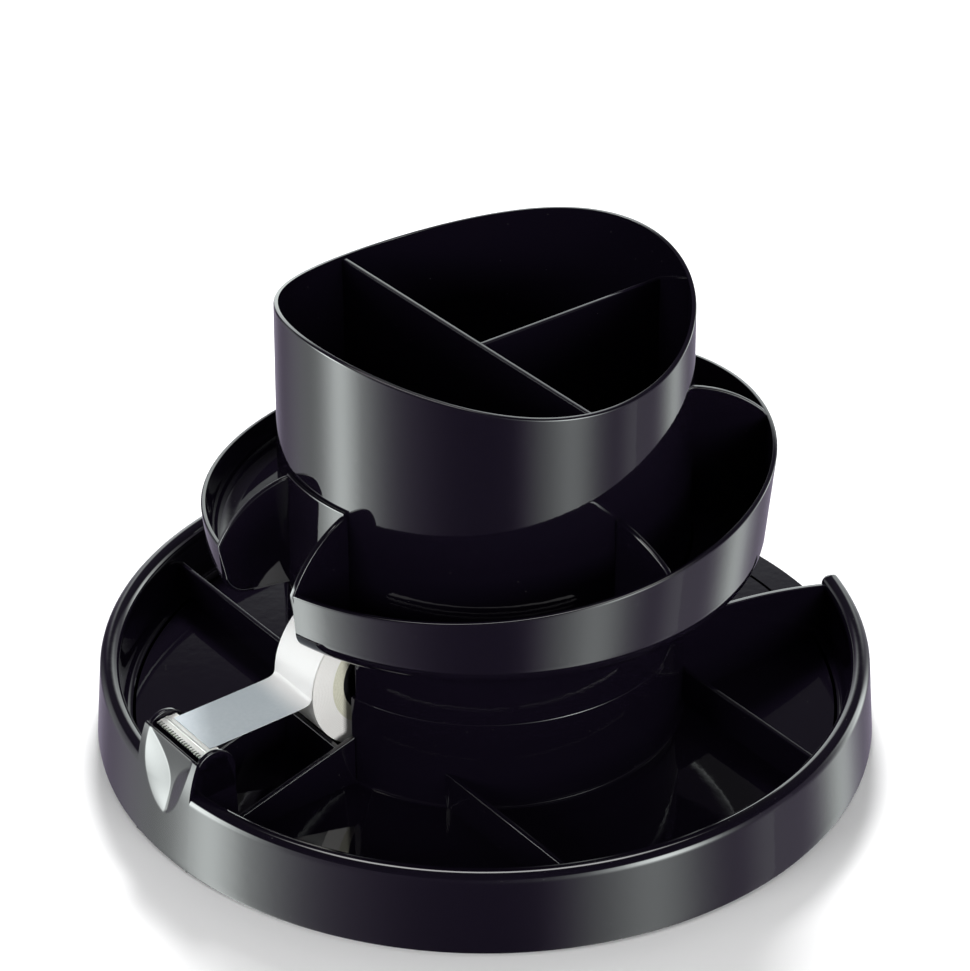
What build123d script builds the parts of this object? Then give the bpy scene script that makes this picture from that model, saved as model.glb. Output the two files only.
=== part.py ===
from build123d import *
from math import cos, radians, sin, sqrt
import os

# Rotary desk organizer: a round compartment tray that turns on a ball-bearing foot, with a tape
# dispenser let into it, a smaller wavy-rimmed tray above and a pen cup on top.
# Millimetres. The desk is z = 0 and the turning axis is the Z axis. +X is right, -Y is the front.

# ---- driving dimensions -------------------------------------------------------------------------
cutter_azimuth = 217.5      # direction of the tape cutter, counter-clockwise from +X
wall = 1.8                  # moulded wall
web = 1.6                   # moulded divider
floor = 2.2                 # moulded floor
seat_gap = 0.1              # between mouldings that sit in each other
running_gap = 0.05          # radial gap of a turning fit
free_gap = 0.4              # between parts that pass each other

# foot and bearing
foot_radius = 75.0
foot_lift = 1.5             # underside of the foot plate above the desk
foot_floor = 2.2
pad_radius = 7.0
pad_circle = 66.0
pad_count = 6
pad_recess = 0.4
ball_radius = 2.5
race_inset = 16.0           # the ball circle inside the hub's wall
ball_count = 16
ball_gap = 0.1
race_width = 8.0
race_floor = 1.3
cage_thickness = 1.5
cage_width = 9.0
pivot_radius = 8.0
pivot_length = 5.2          # length of the foot's bearing bore
pivot_end_play = 0.3

# lower tray
tray_radius = 118.0         # at the lip
tray_flare = 2.0            # how far the skirt spreads from the lip to its bottom edge
lip_radius = 3.0
lip_height = 23.8           # centre of the rolled lip
skirt_lift = 1.0            # bottom edge of the skirt above the desk
tray_floor = 7.2            # top of the compartment floor
tray_wall_draft = 1.5
chord_offset = 45.0         # straight dividers, each side of the axis
chord_top = 19.3
hub_radius = 61.0
hub_draft = 0.3
hub_top = 37.2
pad_width = 77.4            # clear width of the note-paper pocket
channel_width = 26.4        # clear width of the tape channel
channel_inner_top = 23.8
channel_outer_top = 12.6
cradle_drop = 16.9          # top of the cross wall in front of the well, below the spindle
cradle_gap = 0.41327        # from the roll to the top edge of the cross wall
head_width = 24.0
head_top = 37.3
head_inner = 100.3
head_outer = 113.8

# tape
spindle_inset = 14.0        # spindle inside the hub's wall
roll_gap = 2.4              # under the roll, above the hub's floor
tape_radius = 23.7
tape_width = 19.0
core_bore = 12.7
core_radius = 16.5
axle_radius = 2.5
strip_thickness = 0.3
blade_thickness = 0.5

# middle tray
shelf_radius = 84.1         # where the wall leaves the rounded corner
shelf_flare = 0.083         # growth of the radius per millimetre of height
shelf_gap = 2.3             # between the roll and the middle tray
shelf_corner = 8.0
shelf_height = 23.36        # mean height of the wavy rim above the tray's underside
shelf_tilt = 9.985          # the rim's tilt, highest towards shelf_tilt_azimuth
shelf_tilt_azimuth = -15.3
shelf_wave = 2.443          # the rim's saddle, highest along shelf_wave_azimuth
shelf_wave_azimuth = 24.7
shelf_rim_radius = 85.5
notch_half_angle = 12.9
fin_height = 36.5           # the notch's fins at the cup, above the tray's underside
# each divider's angle from the cutter's direction, and its height at the cup above the underside
shelf_dividers_at = ((90.0, 35.7), (-90.0, 27.5), (150.5, 46.3), (-150.5, 36.5))

# pen cup
cup_radius = 61.0           # at the mean rim height
cup_draft = 0.0125          # growth of the radius per millimetre downwards
cup_height = 78.5           # mean height of the wavy rim above the middle tray's underside
cup_wave = 6.57
cup_wave_azimuth = 37.5
cup_floor_height = 9.5      # top of the cup's floor above the middle tray's underside
cup_divider_height = 71.5   # top of the T divider above the middle tray's underside
cup_divider_offset = 8.2
cup_branch_offset = 8.3

# screws
post_radius = 3.6
post_bite = 0.8             # how far a post stands in the column's wall
post_angles = (50.0, 125.0)             # each side of the direction away from the cutter
column_screw_radius = 1.5
column_screw_head = 3.2
column_screw_reach = 14.0
cup_boss_circle = 40.0
cup_boss_radius = 3.2
cup_boss_angles = (0.0, 110.0, -110.0)
cup_screw_radius = 1.25
cup_screw_head = 2.8
pivot_screw_radius = 2.0
pivot_screw_head = 4.0
screw_clearance = 0.2

os.makedirs("parts", exist_ok=True)

# ---- worked out from the driving dimensions --------------------------------------------------------
toward = Vector(cos(radians(cutter_azimuth)), sin(radians(cutter_azimuth)), 0)
beside = Vector(-toward.Y, toward.X, 0)
away_azimuth = cutter_azimuth - 180.0

ball_circle = hub_radius - race_inset
foot_top = foot_lift + foot_floor
race_bottom_top = foot_top + race_floor
ball_height = foot_top + race_floor - 0.6 + ball_gap / 2 + ball_radius
race_top_bottom = ball_height + ball_radius + ball_gap / 2 - 0.6
hub_underside = race_top_bottom + race_floor
hub_floor = hub_underside + floor
spindle_offset = hub_radius - spindle_inset
spindle_height = hub_floor + roll_gap + tape_radius
cradle_top = spindle_height - cradle_drop
cradle_offset = spindle_offset + web / 2 + sqrt((tape_radius + cradle_gap) ** 2 - cradle_drop**2)
shelf_bottom = spindle_height + tape_radius + shelf_gap
shelf_rim = shelf_bottom + shelf_height
fin_top = shelf_bottom + fin_height
cup_floor = shelf_bottom + cup_floor_height
cup_rim = shelf_bottom + cup_height
cup_divider_top = shelf_bottom + cup_divider_height
tray_underside = tray_floor - floor
web_root = tray_floor - floor / 2
tray_inner_top = tray_radius - 2 * lip_radius + 0.5
tray_inner_bottom = tray_inner_top - tray_wall_draft
hub_foot_radius = hub_radius + hub_draft
pivot_bottom = foot_lift + 2.0
shelf_floor = shelf_bottom + wall
shelf_middle = shelf_bottom + wall / 2
cup_bottom = shelf_floor
post_circle = hub_radius - wall - web - post_radius + post_bite


def deck(height):
    """A level plane at a height, x towards the cutter."""
    return Plane(origin=(0, 0, height), x_dir=toward, z_dir=(0, 0, 1))


def side(offset):
    """An upright plane that holds the cutter's direction, x outwards and y up."""
    return Plane(origin=beside * offset, x_dir=toward, z_dir=beside * -1)


def spoke(azimuth):
    """An upright radial plane, x outwards and y up."""
    out = Vector(cos(radians(azimuth)), sin(radians(azimuth)), 0)
    return Plane(origin=(0, 0, 0), x_dir=out, z_dir=(out.Y, -out.X, 0))


def cup_outer(height):
    """Outer radius of the pen cup at a height."""
    return cup_radius + cup_draft * (cup_rim - height)


def shelf_outer(height):
    """Outer radius of the middle tray's wall at a height."""
    return shelf_radius + shelf_flare * (height - shelf_bottom - shelf_corner)


def skirt_outer(height):
    """Outer radius of the lower tray's skirt at a height."""
    return tray_radius + tray_flare * (lip_height - height) / (lip_height - skirt_lift)


def shelf_rim_height(azimuth):
    """Height of the middle tray's rim at an azimuth."""
    tilt = shelf_tilt * cos(radians(azimuth - shelf_tilt_azimuth))
    return shelf_rim + tilt + shelf_wave * cos(2 * radians(azimuth - shelf_wave_azimuth))


def above_wave(mean, tilt, tilt_azimuth, wave, wave_azimuth, radius):
    """The solid above a saddle-shaped surface: it trims a round wall to a smoothly wavy rim.

    At the given radius the surface is at mean + tilt * cos(a - tilt_azimuth)
    + wave * cos(2 * (a - wave_azimuth)). Its straight rulings make it a ruled loft.
    """
    reach = 1.3 * radius
    roof = mean + 3 * (abs(tilt) + abs(wave)) + 20
    p_axis = Vector(cos(radians(wave_azimuth + 45)), sin(radians(wave_azimuth + 45)), 0)
    q_axis = Vector(p_axis.Y, -p_axis.X, 0)
    rise = Vector(cos(radians(tilt_azimuth)), sin(radians(tilt_azimuth)), 0) * (tilt / radius)
    twist = 2 * wave / radius**2
    with BuildPart() as trim:
        for p in (-reach, reach):
            low = mean + p * rise.dot(p_axis) - reach * (rise.dot(q_axis) + twist * p)
            high = mean + p * rise.dot(p_axis) + reach * (rise.dot(q_axis) + twist * p)
            with BuildSketch(Plane(origin=p_axis * p, x_dir=q_axis, z_dir=p_axis * -1)):
                Polygon((-reach, low), (reach, high), (reach, roof), (-reach, roof), align=None)
        loft(ruled=True)
    return trim.part


def ring(inner, outer, bottom, top):
    """The section of a plain ring, to revolve round the Z axis."""
    with BuildSketch(Plane.XZ) as section:
        with Locations(((inner + outer) / 2, (bottom + top) / 2)):
            Rectangle(outer - inner, top - bottom)
    return section.sketch


def save(name, part):
    part.label = name
    export_step(part, f"parts/{name}.step")


# ---- foot: plate, pads and lower race --------------------------------------------------------------
race_inner = ball_circle - race_width / 2
race_outer = ball_circle + race_width / 2
ridge = 1.2                 # rib that holds a race
ridge_height = 1.0
hub_recess = 15.0
boss_foot = 18.0            # where the bearing boss meets the foot's floor
boss_top = 12.0
foot_bore = pivot_radius + running_gap
foot_hub_bottom = pivot_bottom + pivot_end_play
foot_hub_top = foot_hub_bottom + pivot_length
race_root = foot_top - foot_floor / 2

with BuildPart() as foot_plate:
    with BuildSketch(Plane.XZ):
        with BuildLine():
            Polyline(
                (foot_bore, foot_hub_bottom), (hub_recess, foot_hub_bottom), (hub_recess, foot_lift),
                (foot_radius, foot_lift), (foot_radius, foot_top), (boss_foot, foot_top),
                (boss_foot - 1, foot_top + 1.6), (boss_top, foot_hub_top),
                (foot_bore, foot_hub_top), close=True,
            )
        make_face()
    revolve(axis=Axis.Z)
    revolve(ring(race_inner - ridge - seat_gap, race_inner - seat_gap, race_root, foot_top + ridge_height))
    revolve(ring(race_outer + seat_gap, race_outer + seat_gap + ridge, race_root, foot_top + ridge_height))
    with BuildSketch(Plane.XY.offset(foot_lift)):
        with PolarLocations(pad_circle, pad_count):
            Circle(pad_radius + seat_gap)
    extrude(amount=pad_recess, mode=Mode.SUBTRACT)
    fillet(foot_plate.edges().filter_by(GeomType.CIRCLE).sort_by(SortBy.RADIUS)[-2:], 0.6)

with BuildPart() as rubber_feet:
    with BuildSketch(Plane.XY):
        with PolarLocations(pad_circle, pad_count):
            Circle(pad_radius)
    extrude(amount=foot_lift + pad_recess)
    chamfer(rubber_feet.faces().group_by(Axis.Z)[0].edges(), 0.4)


def race(bottom):
    """A pressed steel ring with a round ball groove."""
    with BuildPart() as ring_part:
        revolve(ring(race_inner, race_outer, bottom, bottom + race_floor))
        with BuildSketch(Plane.XZ):
            with Locations((ball_circle, ball_height)):
                Circle(ball_radius + ball_gap / 2)
        revolve(axis=Axis.Z, mode=Mode.SUBTRACT)
    return ring_part.part


race_lower = race(foot_top)
race_upper = race(race_top_bottom)

# ---- ball ring -------------------------------------------------------------------------------------
with BuildPart() as ball_cage:
    revolve(ring(
        ball_circle - cage_width / 2, ball_circle + cage_width / 2,
        ball_height - cage_thickness / 2, ball_height + cage_thickness / 2,
    ))
    with BuildSketch(Plane.XY.offset(ball_height)):
        with PolarLocations(ball_circle, ball_count):
            Circle(ball_radius + ball_gap)
    extrude(amount=cage_thickness, both=True, mode=Mode.SUBTRACT)

with BuildPart() as bearing_balls:
    with Locations((0, 0, ball_height)):
        with PolarLocations(ball_circle, ball_count):
            Sphere(ball_radius)

# ---- lower tray ------------------------------------------------------------------------------------
lip_centre = tray_radius - lip_radius
shell_top = lip_height - 2.3
well_half = channel_width / 2
pocket_half = pad_width / 2
web_reach = tray_radius + 5
mouth_reach = 2 * lip_radius + 14       # radial length of the cut that opens the note-paper pocket

# what the dividers stand in: from inside the hub's wall to inside the tray's wall
with BuildPart() as tray_room:
    with BuildSketch(Plane.XZ):
        Polygon(
            (hub_radius - wall / 2, web_root), (tray_inner_bottom + wall / 2, web_root),
            (tray_inner_top + wall / 2, lip_height), (hub_radius - wall / 2, lip_height), align=None,
        )
    revolve(axis=Axis.Z)

with BuildPart() as tray_webs:
    with BuildSketch(deck(web_root)):
        for offset in (chord_offset, -chord_offset):
            with Locations((offset, 0)):
                Rectangle(web, 2 * web_reach)
    extrude(amount=chord_top - web_root)
    for offset in (well_half + web / 2, -well_half - web / 2):
        with BuildSketch(side(offset)):
            Polygon(
                (hub_radius - wall, web_root), (head_inner + 2, web_root),
                (head_inner + 2, channel_outer_top), (hub_radius - wall, channel_inner_top), align=None,
            )
        extrude(amount=web / 2, both=True)
    with BuildSketch(deck(web_root)):
        with Locations((cradle_offset, 0)):
            Rectangle(web, channel_width + web)
    extrude(amount=cradle_top - web_root)
    add(tray_room.part, mode=Mode.INTERSECT)

# walls of the note-paper pocket: they rise in a curve from the rim to the hub
rim_end = (-tray_radius, lip_height - 3.4)
hub_end = (-0.7 * hub_radius, hub_top - 0.8)
pocket_crown = (-82.0, lip_height + 7.2)
with BuildPart() as pocket_walls:
    for offset in (pocket_half + web / 2, -pocket_half - web / 2):
        with BuildSketch(side(offset)):
            with BuildLine():
                ThreePointArc(rim_end, pocket_crown, hub_end)
                Polyline(hub_end, (hub_end[0], web_root), (rim_end[0], web_root), rim_end)
            make_face()
        extrude(amount=web / 2, both=True)
    with BuildSketch(deck(tray_underside)):
        with Locations((-tray_radius, 0)):
            Rectangle(mouth_reach, pad_width + 2 * web)
    extrude(amount=floor)
    with BuildSketch(Plane.XZ):
        Polygon(
            (hub_radius - wall / 2, 0), (skirt_outer(0), 0), (tray_radius, lip_height),
            (tray_radius, hub_top + 5), (hub_radius - wall / 2, hub_top + 5), align=None,
        )
    revolve(axis=Axis.Z, mode=Mode.INTERSECT)

# side walls of the tape well inside the hub, with a slot each for the spindle's axle
well_top = spindle_height + 6.0
slot_half = axle_radius + running_gap
with BuildPart() as well_walls:
    for offset in (well_half + web / 2, -well_half - web / 2):
        with BuildSketch(side(offset)):
            with Locations(((hub_radius + spindle_offset - tape_radius) / 2, (hub_floor + well_top) / 2)):
                Rectangle(hub_radius - spindle_offset + tape_radius + 6, well_top - hub_floor + floor)
            with Locations((spindle_offset, spindle_height)):
                Circle(slot_half, mode=Mode.SUBTRACT)
            with Locations((spindle_offset, spindle_height + 10)):
                Rectangle(2 * slot_half, 20, mode=Mode.SUBTRACT)
        extrude(amount=web / 2, both=True)
    with BuildSketch(Plane.XZ):
        Polygon(
            (0, hub_floor - floor / 2), (hub_radius - wall / 2, hub_floor - floor / 2),
            (hub_radius - wall / 2, hub_top), (hub_radius - wall - free_gap, hub_top),
            (hub_radius - wall - free_gap, well_top), (0, well_top), align=None,
        )
    revolve(axis=Axis.Z, mode=Mode.INTERSECT)

# the cutter's head: a hollow block that grows out of the rim, with two round-topped cheeks
cheek = 1.6
platform = head_top - 0.7
edge_top = head_top - 0.4
groove_front = head_outer - 1.2
groove_back = head_outer - 3.4
groove_floor = platform - 1.9
head_neck = (tray_radius - 1.5, lip_height + 7.0)
skirt_foot = (skirt_outer(skirt_lift), skirt_lift)
with BuildPart() as head:
    with BuildSketch(side(0)):
        with BuildLine():
            Polyline(
                skirt_foot, (tray_radius, lip_height), head_neck, (head_outer, edge_top),
                (groove_front, edge_top), (groove_front - 0.2, groove_floor),
                (groove_back + 0.2, groove_floor), (groove_back, platform),
                (head_inner + 3.6, platform), (head_inner + 0.9, lip_height + 3.0),
                (head_inner, tray_floor), (head_inner, skirt_lift), close=True,
            )
        make_face()
    extrude(amount=head_width / 2, both=True)
    for offset in (head_width / 2 + cheek / 2, -head_width / 2 - cheek / 2):
        with BuildSketch(side(offset)):
            with BuildLine():
                crown = (head_inner + 6.0, head_top + 1.4)
                ThreePointArc((head_inner, head_top - 7), (head_inner + 2.0, head_top - 1.4), crown)
                ThreePointArc(crown, (head_outer - 2.6, head_top + 0.6), (head_outer, head_top - 2))
                Polyline(
                    (head_outer, head_top - 2), head_neck, (tray_radius, lip_height), skirt_foot,
                    (head_inner, skirt_lift), (head_inner, head_top - 7),
                )
            make_face()
        extrude(amount=cheek / 2, both=True)
    with BuildSketch(side(0)):
        Polygon(
            (head_inner + wall, 0), (skirt_outer(0) - wall, 0), (tray_radius - wall, lip_height),
            (head_outer - wall, head_top - 5), (head_inner + 5, head_top - 5),
            (head_inner + wall + 0.9, lip_height), align=None,
        )
    extrude(amount=head_width / 2 - wall + cheek, both=True, mode=Mode.SUBTRACT)

with BuildPart() as lower_tray:
    with BuildSketch(Plane.XZ):
        with BuildLine():
            lip_out = (tray_radius, lip_height)
            lip_in = (tray_radius - 2 * lip_radius, lip_height)
            roof_out = (tray_radius - wall, shell_top)
            roof_in = (tray_inner_top + wall, shell_top)
            Line((skirt_outer(skirt_lift) - wall, skirt_lift), (skirt_outer(skirt_lift), skirt_lift))
            Line((skirt_outer(skirt_lift), skirt_lift), lip_out)
            ThreePointArc(lip_out, (lip_centre, lip_height + lip_radius), lip_in)
            Polyline(
                lip_in, (lip_in[0], lip_height - 1.2), (tray_inner_top, lip_height - 2.2),
                (tray_inner_bottom, tray_floor), (hub_foot_radius, tray_floor),
                (hub_radius, hub_top), (hub_radius - wall, hub_top),
                (hub_radius - wall, hub_floor), (0, hub_floor), (0, pivot_bottom),
                (pivot_radius, pivot_bottom), (pivot_radius, hub_underside),
                (hub_radius - wall, hub_underside), (hub_radius - wall, tray_underside),
                (tray_inner_bottom + wall, tray_underside), roof_in,
            )
            ThreePointArc(roof_in, ((roof_in[0] + roof_out[0]) / 2, shell_top + 1.4), roof_out)
            Line(roof_out, (skirt_outer(skirt_lift) - wall, skirt_lift))
        make_face()
    revolve(axis=Axis.Z)
    revolve(ring(race_inner - ridge - seat_gap, race_inner - seat_gap, hub_underside - 1, hub_underside))
    revolve(ring(race_outer + seat_gap, race_outer + seat_gap + ridge, hub_underside - 1, hub_underside))
    fillet(
        lower_tray.edges().filter_by(GeomType.CIRCLE).group_by(Axis.Z)[0].sort_by(SortBy.RADIUS)[-1],
        0.6,
    )
    add(tray_webs.part)
    # the mouth of the note-paper pocket in the rim
    with BuildSketch(deck(tray_floor)):
        with Locations((-tray_radius, 0)):
            Rectangle(mouth_reach, pad_width)
    extrude(amount=lip_height, mode=Mode.SUBTRACT)
    add(pocket_walls.part)
    for offset in (pocket_half + web / 2, -pocket_half - web / 2):
        lip_end = toward * -sqrt(lip_centre**2 - offset**2) + beside * offset
        with Locations(lip_end + Vector(0, 0, lip_height)):
            Sphere(lip_radius)
    # the opening of the tape well in the hub
    with BuildSketch(deck(hub_floor)):
        with Locations((hub_radius, 0)):
            Rectangle(2 * (cradle_offset - web / 2 - hub_radius), channel_width)
    extrude(amount=hub_top, mode=Mode.SUBTRACT)
    add(well_walls.part)
    # the tape's head takes the place of the rim
    with BuildSketch(deck(skirt_lift)):
        with Locations(((head_inner + tray_radius + 10) / 2, 0)):
            Rectangle(tray_radius + 10 - head_inner, head_width)
    extrude(amount=lip_height + 10, mode=Mode.SUBTRACT)
    add(head.part)
    with BuildSketch(Plane.XY.offset(pivot_bottom)):
        Circle(pivot_screw_radius)
    extrude(amount=hub_floor - pivot_bottom - wall, mode=Mode.SUBTRACT)
    with BuildSketch(Plane.XY.offset(hub_underside)):
        for angle in post_angles:
            for azimuth in (away_azimuth + angle, away_azimuth - angle):
                with Locations(spoke(azimuth).x_dir * post_circle):
                    Circle(column_screw_radius + screw_clearance)
    extrude(amount=floor, mode=Mode.SUBTRACT)

# ---- pivot washer and screw ------------------------------------------------------------------------
washer = 1.0
with BuildPart() as pivot_washer:
    revolve(ring(pivot_screw_radius + screw_clearance, hub_recess - 3, pivot_bottom - washer, pivot_bottom))


def screw(seat, head_radius, shank_radius, head_height, length):
    """A pan-head screw that points up, with its head under the seat and a cross recess."""
    with BuildPart() as body:
        with BuildSketch(Plane.XY.offset(seat)):
            Circle(head_radius)
        extrude(amount=-head_height)
        fillet(body.edges().group_by(Axis.Z)[0], 0.5 * head_height)
        with BuildSketch(Plane.XY.offset(seat)):
            Circle(shank_radius)
        extrude(amount=length)
        with BuildSketch(Plane.XY.offset(seat - head_height)):
            Rectangle(1.1 * head_radius, 0.3 * head_radius)
            Rectangle(0.3 * head_radius, 1.1 * head_radius)
        extrude(amount=0.6 * head_height, mode=Mode.SUBTRACT)
    return body.part


pivot_screw = screw(
    pivot_bottom - washer, pivot_screw_head, pivot_screw_radius, 1.6, hub_floor - pivot_bottom - wall
)

# ---- middle tray -----------------------------------------------------------------------------------
shelf_roof = 115.0
corner_centre = shelf_radius - shelf_corner
rim_cut = above_wave(
    shelf_rim, shelf_tilt, shelf_tilt_azimuth, shelf_wave, shelf_wave_azimuth, shelf_rim_radius
)
sleeve_wall = 1.2
rim_step = 0.3              # height between a divider's outer end and the rim
fin_azimuths = (cutter_azimuth - notch_half_angle, cutter_azimuth + notch_half_angle)


def shelf_section(thickness):
    """Half section of the middle tray's bowl, shrunk by a thickness, from the cup's wall outwards."""
    low = shelf_bottom + thickness
    corner = shelf_corner - thickness
    with BuildSketch(Plane.XZ) as section:
        with BuildLine():
            start = (corner_centre, low)
            middle = (corner_centre + corner * sqrt(0.5), shelf_bottom + shelf_corner - corner * sqrt(0.5))
            end = (corner_centre + corner, shelf_bottom + shelf_corner)
            ThreePointArc(start, middle, end)
            Polyline(
                end, (shelf_outer(shelf_roof) - thickness, shelf_roof),
                (cup_outer(shelf_roof) + seat_gap, shelf_roof), (cup_outer(low) + seat_gap, low), start,
            )
        make_face()
    return section.sketch


def divider(azimuth, inner_top, outer_top, thickness):
    """A radial wall of the middle tray whose top falls in a curve from the cup to the rim."""
    inner = cup_outer(inner_top) - 1
    outer = shelf_outer(outer_top)
    with BuildPart() as blade:
        with BuildSketch(spoke(azimuth)):
            with BuildLine():
                ThreePointArc(
                    (inner, inner_top), ((inner + outer) / 2, inner_top - (inner_top - outer_top) / 4),
                    (outer, outer_top),
                )
                Polyline((outer, outer_top), (outer, shelf_bottom), (inner, shelf_bottom), (inner, inner_top))
            make_face()
        extrude(amount=thickness / 2, both=True)
    return blade.part


with BuildPart() as shelf_dividers:
    for angle, inner_height in shelf_dividers_at:
        rim_top = shelf_rim_height(cutter_azimuth + angle)
        add(divider(cutter_azimuth + angle, shelf_bottom + inner_height, rim_top - rim_step, web))
    revolve(shelf_section(wall / 2), axis=Axis.Z, mode=Mode.INTERSECT)

with BuildPart() as fins:
    for azimuth in fin_azimuths:
        add(divider(azimuth, fin_top, shelf_rim_height(azimuth) + rim_step, web))
    revolve(shelf_section(0), axis=Axis.Z, mode=Mode.INTERSECT)

# the low wall at the back of the notch, against the cup
with BuildPart() as notch_wall:
    with BuildSketch(Plane.XZ):
        Polygon(
            (cup_outer(shelf_bottom) + seat_gap, shelf_bottom),
            (cup_outer(shelf_bottom) + seat_gap + sleeve_wall, shelf_bottom),
            (cup_outer(fin_top) + seat_gap + sleeve_wall, fin_top + 0.4),
            (cup_outer(fin_top) + seat_gap, fin_top + 0.4), align=None,
        )
    revolve(axis=Axis.Z)
    with BuildSketch(deck(shelf_bottom)):
        Polygon(
            (0, 0), (2 * cup_radius, 2 * cup_radius * sin(radians(notch_half_angle))),
            (2 * cup_radius, -2 * cup_radius * sin(radians(notch_half_angle))), align=None,
        )
    extrude(amount=shelf_roof - shelf_bottom, mode=Mode.INTERSECT)

# column down to the lower tray, with a locating tongue, screw posts and the mouth of the tape well
tongue = 3.0
column_inner = hub_radius - wall - web
mouth_width = channel_width + 2 * web + 2 * seat_gap
with BuildPart() as column:
    with BuildSketch(Plane.XZ):
        Polygon(
            (column_inner, hub_top - tongue), (hub_radius - wall - seat_gap, hub_top - tongue),
            (hub_radius - wall - seat_gap, hub_top), (hub_radius, hub_top),
            (hub_radius, shelf_middle), (column_inner, shelf_middle), align=None,
        )
    revolve(axis=Axis.Z)
    with BuildSketch(deck(hub_top - tongue - 1)):
        with Locations((hub_radius, 0)):
            Rectangle(hub_radius / 2, mouth_width)
    extrude(amount=shelf_bottom - hub_top + tongue + 1, mode=Mode.SUBTRACT)
    with BuildSketch(Plane.XY.offset(hub_floor)):
        for angle in post_angles:
            for azimuth in (away_azimuth + angle, away_azimuth - angle):
                with Locations(spoke(azimuth).x_dir * post_circle):
                    Circle(post_radius)
    extrude(amount=shelf_middle - hub_floor)
    with BuildSketch(Plane.XY.offset(hub_floor)):
        for angle in post_angles:
            for azimuth in (away_azimuth + angle, away_azimuth - angle):
                with Locations(spoke(azimuth).x_dir * post_circle):
                    Circle(column_screw_radius)
    extrude(amount=column_screw_reach, mode=Mode.SUBTRACT)

with BuildPart() as middle_tray:
    revolve(shelf_section(0), axis=Axis.Z)
    add(rim_cut, mode=Mode.SUBTRACT)
    revolve(shelf_section(wall), axis=Axis.Z, mode=Mode.SUBTRACT)
    # level plate under the cup
    revolve(ring(0, cup_outer(shelf_bottom) + 1, shelf_bottom, shelf_floor))
    add(shelf_dividers.part)
    # notch above the tape
    with BuildSketch(deck(shelf_bottom)):
        notch_far = 1.5 * shelf_radius
        notch_spread = notch_far * sin(radians(notch_half_angle)) / cos(radians(notch_half_angle))
        Polygon((0, 0), (notch_far, notch_spread), (notch_far, -notch_spread), align=None)
        Circle(cup_outer(shelf_bottom) + seat_gap + sleeve_wall / 2, mode=Mode.SUBTRACT)
    extrude(amount=shelf_roof, mode=Mode.SUBTRACT)
    add(fins.part)
    add(notch_wall.part)
    add(column.part)
    with BuildSketch(Plane.XY.offset(shelf_bottom)):
        for angle in cup_boss_angles:
            with Locations(spoke(away_azimuth + angle).x_dir * cup_boss_circle):
                Circle(cup_screw_radius + screw_clearance)
    extrude(amount=wall, mode=Mode.SUBTRACT)

# ---- pen cup and its divider -----------------------------------------------------------------------
cup_roof = 156.0
with BuildPart() as pen_cup:
    with BuildSketch(Plane.XZ):
        Polygon(
            (cup_outer(cup_bottom), cup_bottom), (cup_outer(cup_roof), cup_roof),
            (cup_outer(cup_roof) - wall, cup_roof), (cup_outer(cup_floor) - wall, cup_floor),
            (0, cup_floor), (0, cup_floor - wall), (cup_outer(cup_floor) - wall, cup_floor - wall),
            (cup_outer(cup_bottom) - wall, cup_bottom), align=None,
        )
    revolve(axis=Axis.Z)
    add(above_wave(cup_rim, 0, 0, cup_wave, cup_wave_azimuth, cup_radius), mode=Mode.SUBTRACT)
    with BuildSketch(Plane.XY.offset(cup_bottom)):
        for angle in cup_boss_angles:
            with Locations(spoke(away_azimuth + angle).x_dir * cup_boss_circle):
                Circle(cup_boss_radius)
                Circle(cup_screw_radius, mode=Mode.SUBTRACT)
    extrude(amount=cup_floor - wall - cup_bottom)

with BuildPart() as cup_divider:
    with BuildSketch(deck(cup_floor)):
        with Locations((cup_divider_offset, 0)):
            Rectangle(web, 2 * cup_radius)
        with Locations(((cup_divider_offset - cup_radius) / 2, cup_branch_offset)):
            Rectangle(cup_radius + cup_divider_offset, web)
    extrude(amount=cup_divider_top - cup_floor)
    with BuildSketch(Plane.XZ):
        Polygon(
            (0, cup_floor), (cup_outer(cup_floor) - wall, cup_floor),
            (cup_outer(cup_divider_top) - wall, cup_divider_top), (0, cup_divider_top), align=None,
        )
    revolve(axis=Axis.Z, mode=Mode.INTERSECT)

# ---- screws of the column and the cup --------------------------------------------------------------
column_screw = screw(
    hub_underside, column_screw_head, column_screw_radius, 1.8, floor + column_screw_reach - 1
)
with BuildPart() as column_screws:
    for angle in post_angles:
        for azimuth in (away_azimuth + angle, away_azimuth - angle):
            with Locations(spoke(azimuth).x_dir * post_circle):
                add(column_screw)

cup_screw = screw(shelf_bottom, cup_screw_head, cup_screw_radius, 1.5, cup_floor - wall - shelf_bottom - 0.5)
with BuildPart() as cup_screws:
    for angle in cup_boss_angles:
        with Locations(spoke(away_azimuth + angle).x_dir * cup_boss_circle):
            add(cup_screw)

# ---- tape dispenser --------------------------------------------------------------------------------
spindle = Plane(
    origin=toward * spindle_offset + Vector(0, 0, spindle_height), x_dir=toward, z_dir=beside * -1
)
rim_wall = 1.6
with BuildPart() as spindle_axle:
    with BuildSketch(spindle):
        Circle(axle_radius)
    extrude(amount=well_half + web, both=True)
    chamfer(spindle_axle.edges(), 0.4)

with BuildPart() as spindle_wheel:
    with BuildSketch(spindle):
        Circle(core_bore - seat_gap)
        Circle(core_bore - seat_gap - rim_wall, mode=Mode.SUBTRACT)
    extrude(amount=tape_width / 2, both=True)
    with BuildSketch(spindle):
        Circle(core_bore - seat_gap - rim_wall / 2)
    extrude(amount=rim_wall / 2, both=True)
    with BuildSketch(spindle):
        Circle(axle_radius + rim_wall + 0.6)
    extrude(amount=well_half - free_gap, both=True)
    with BuildSketch(spindle):
        Circle(axle_radius + running_gap)
    extrude(amount=channel_width, both=True, mode=Mode.SUBTRACT)

with BuildPart() as tape_core:
    with BuildSketch(spindle):
        Circle(core_radius)
        Circle(core_bore, mode=Mode.SUBTRACT)
    extrude(amount=tape_width / 2, both=True)

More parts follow.
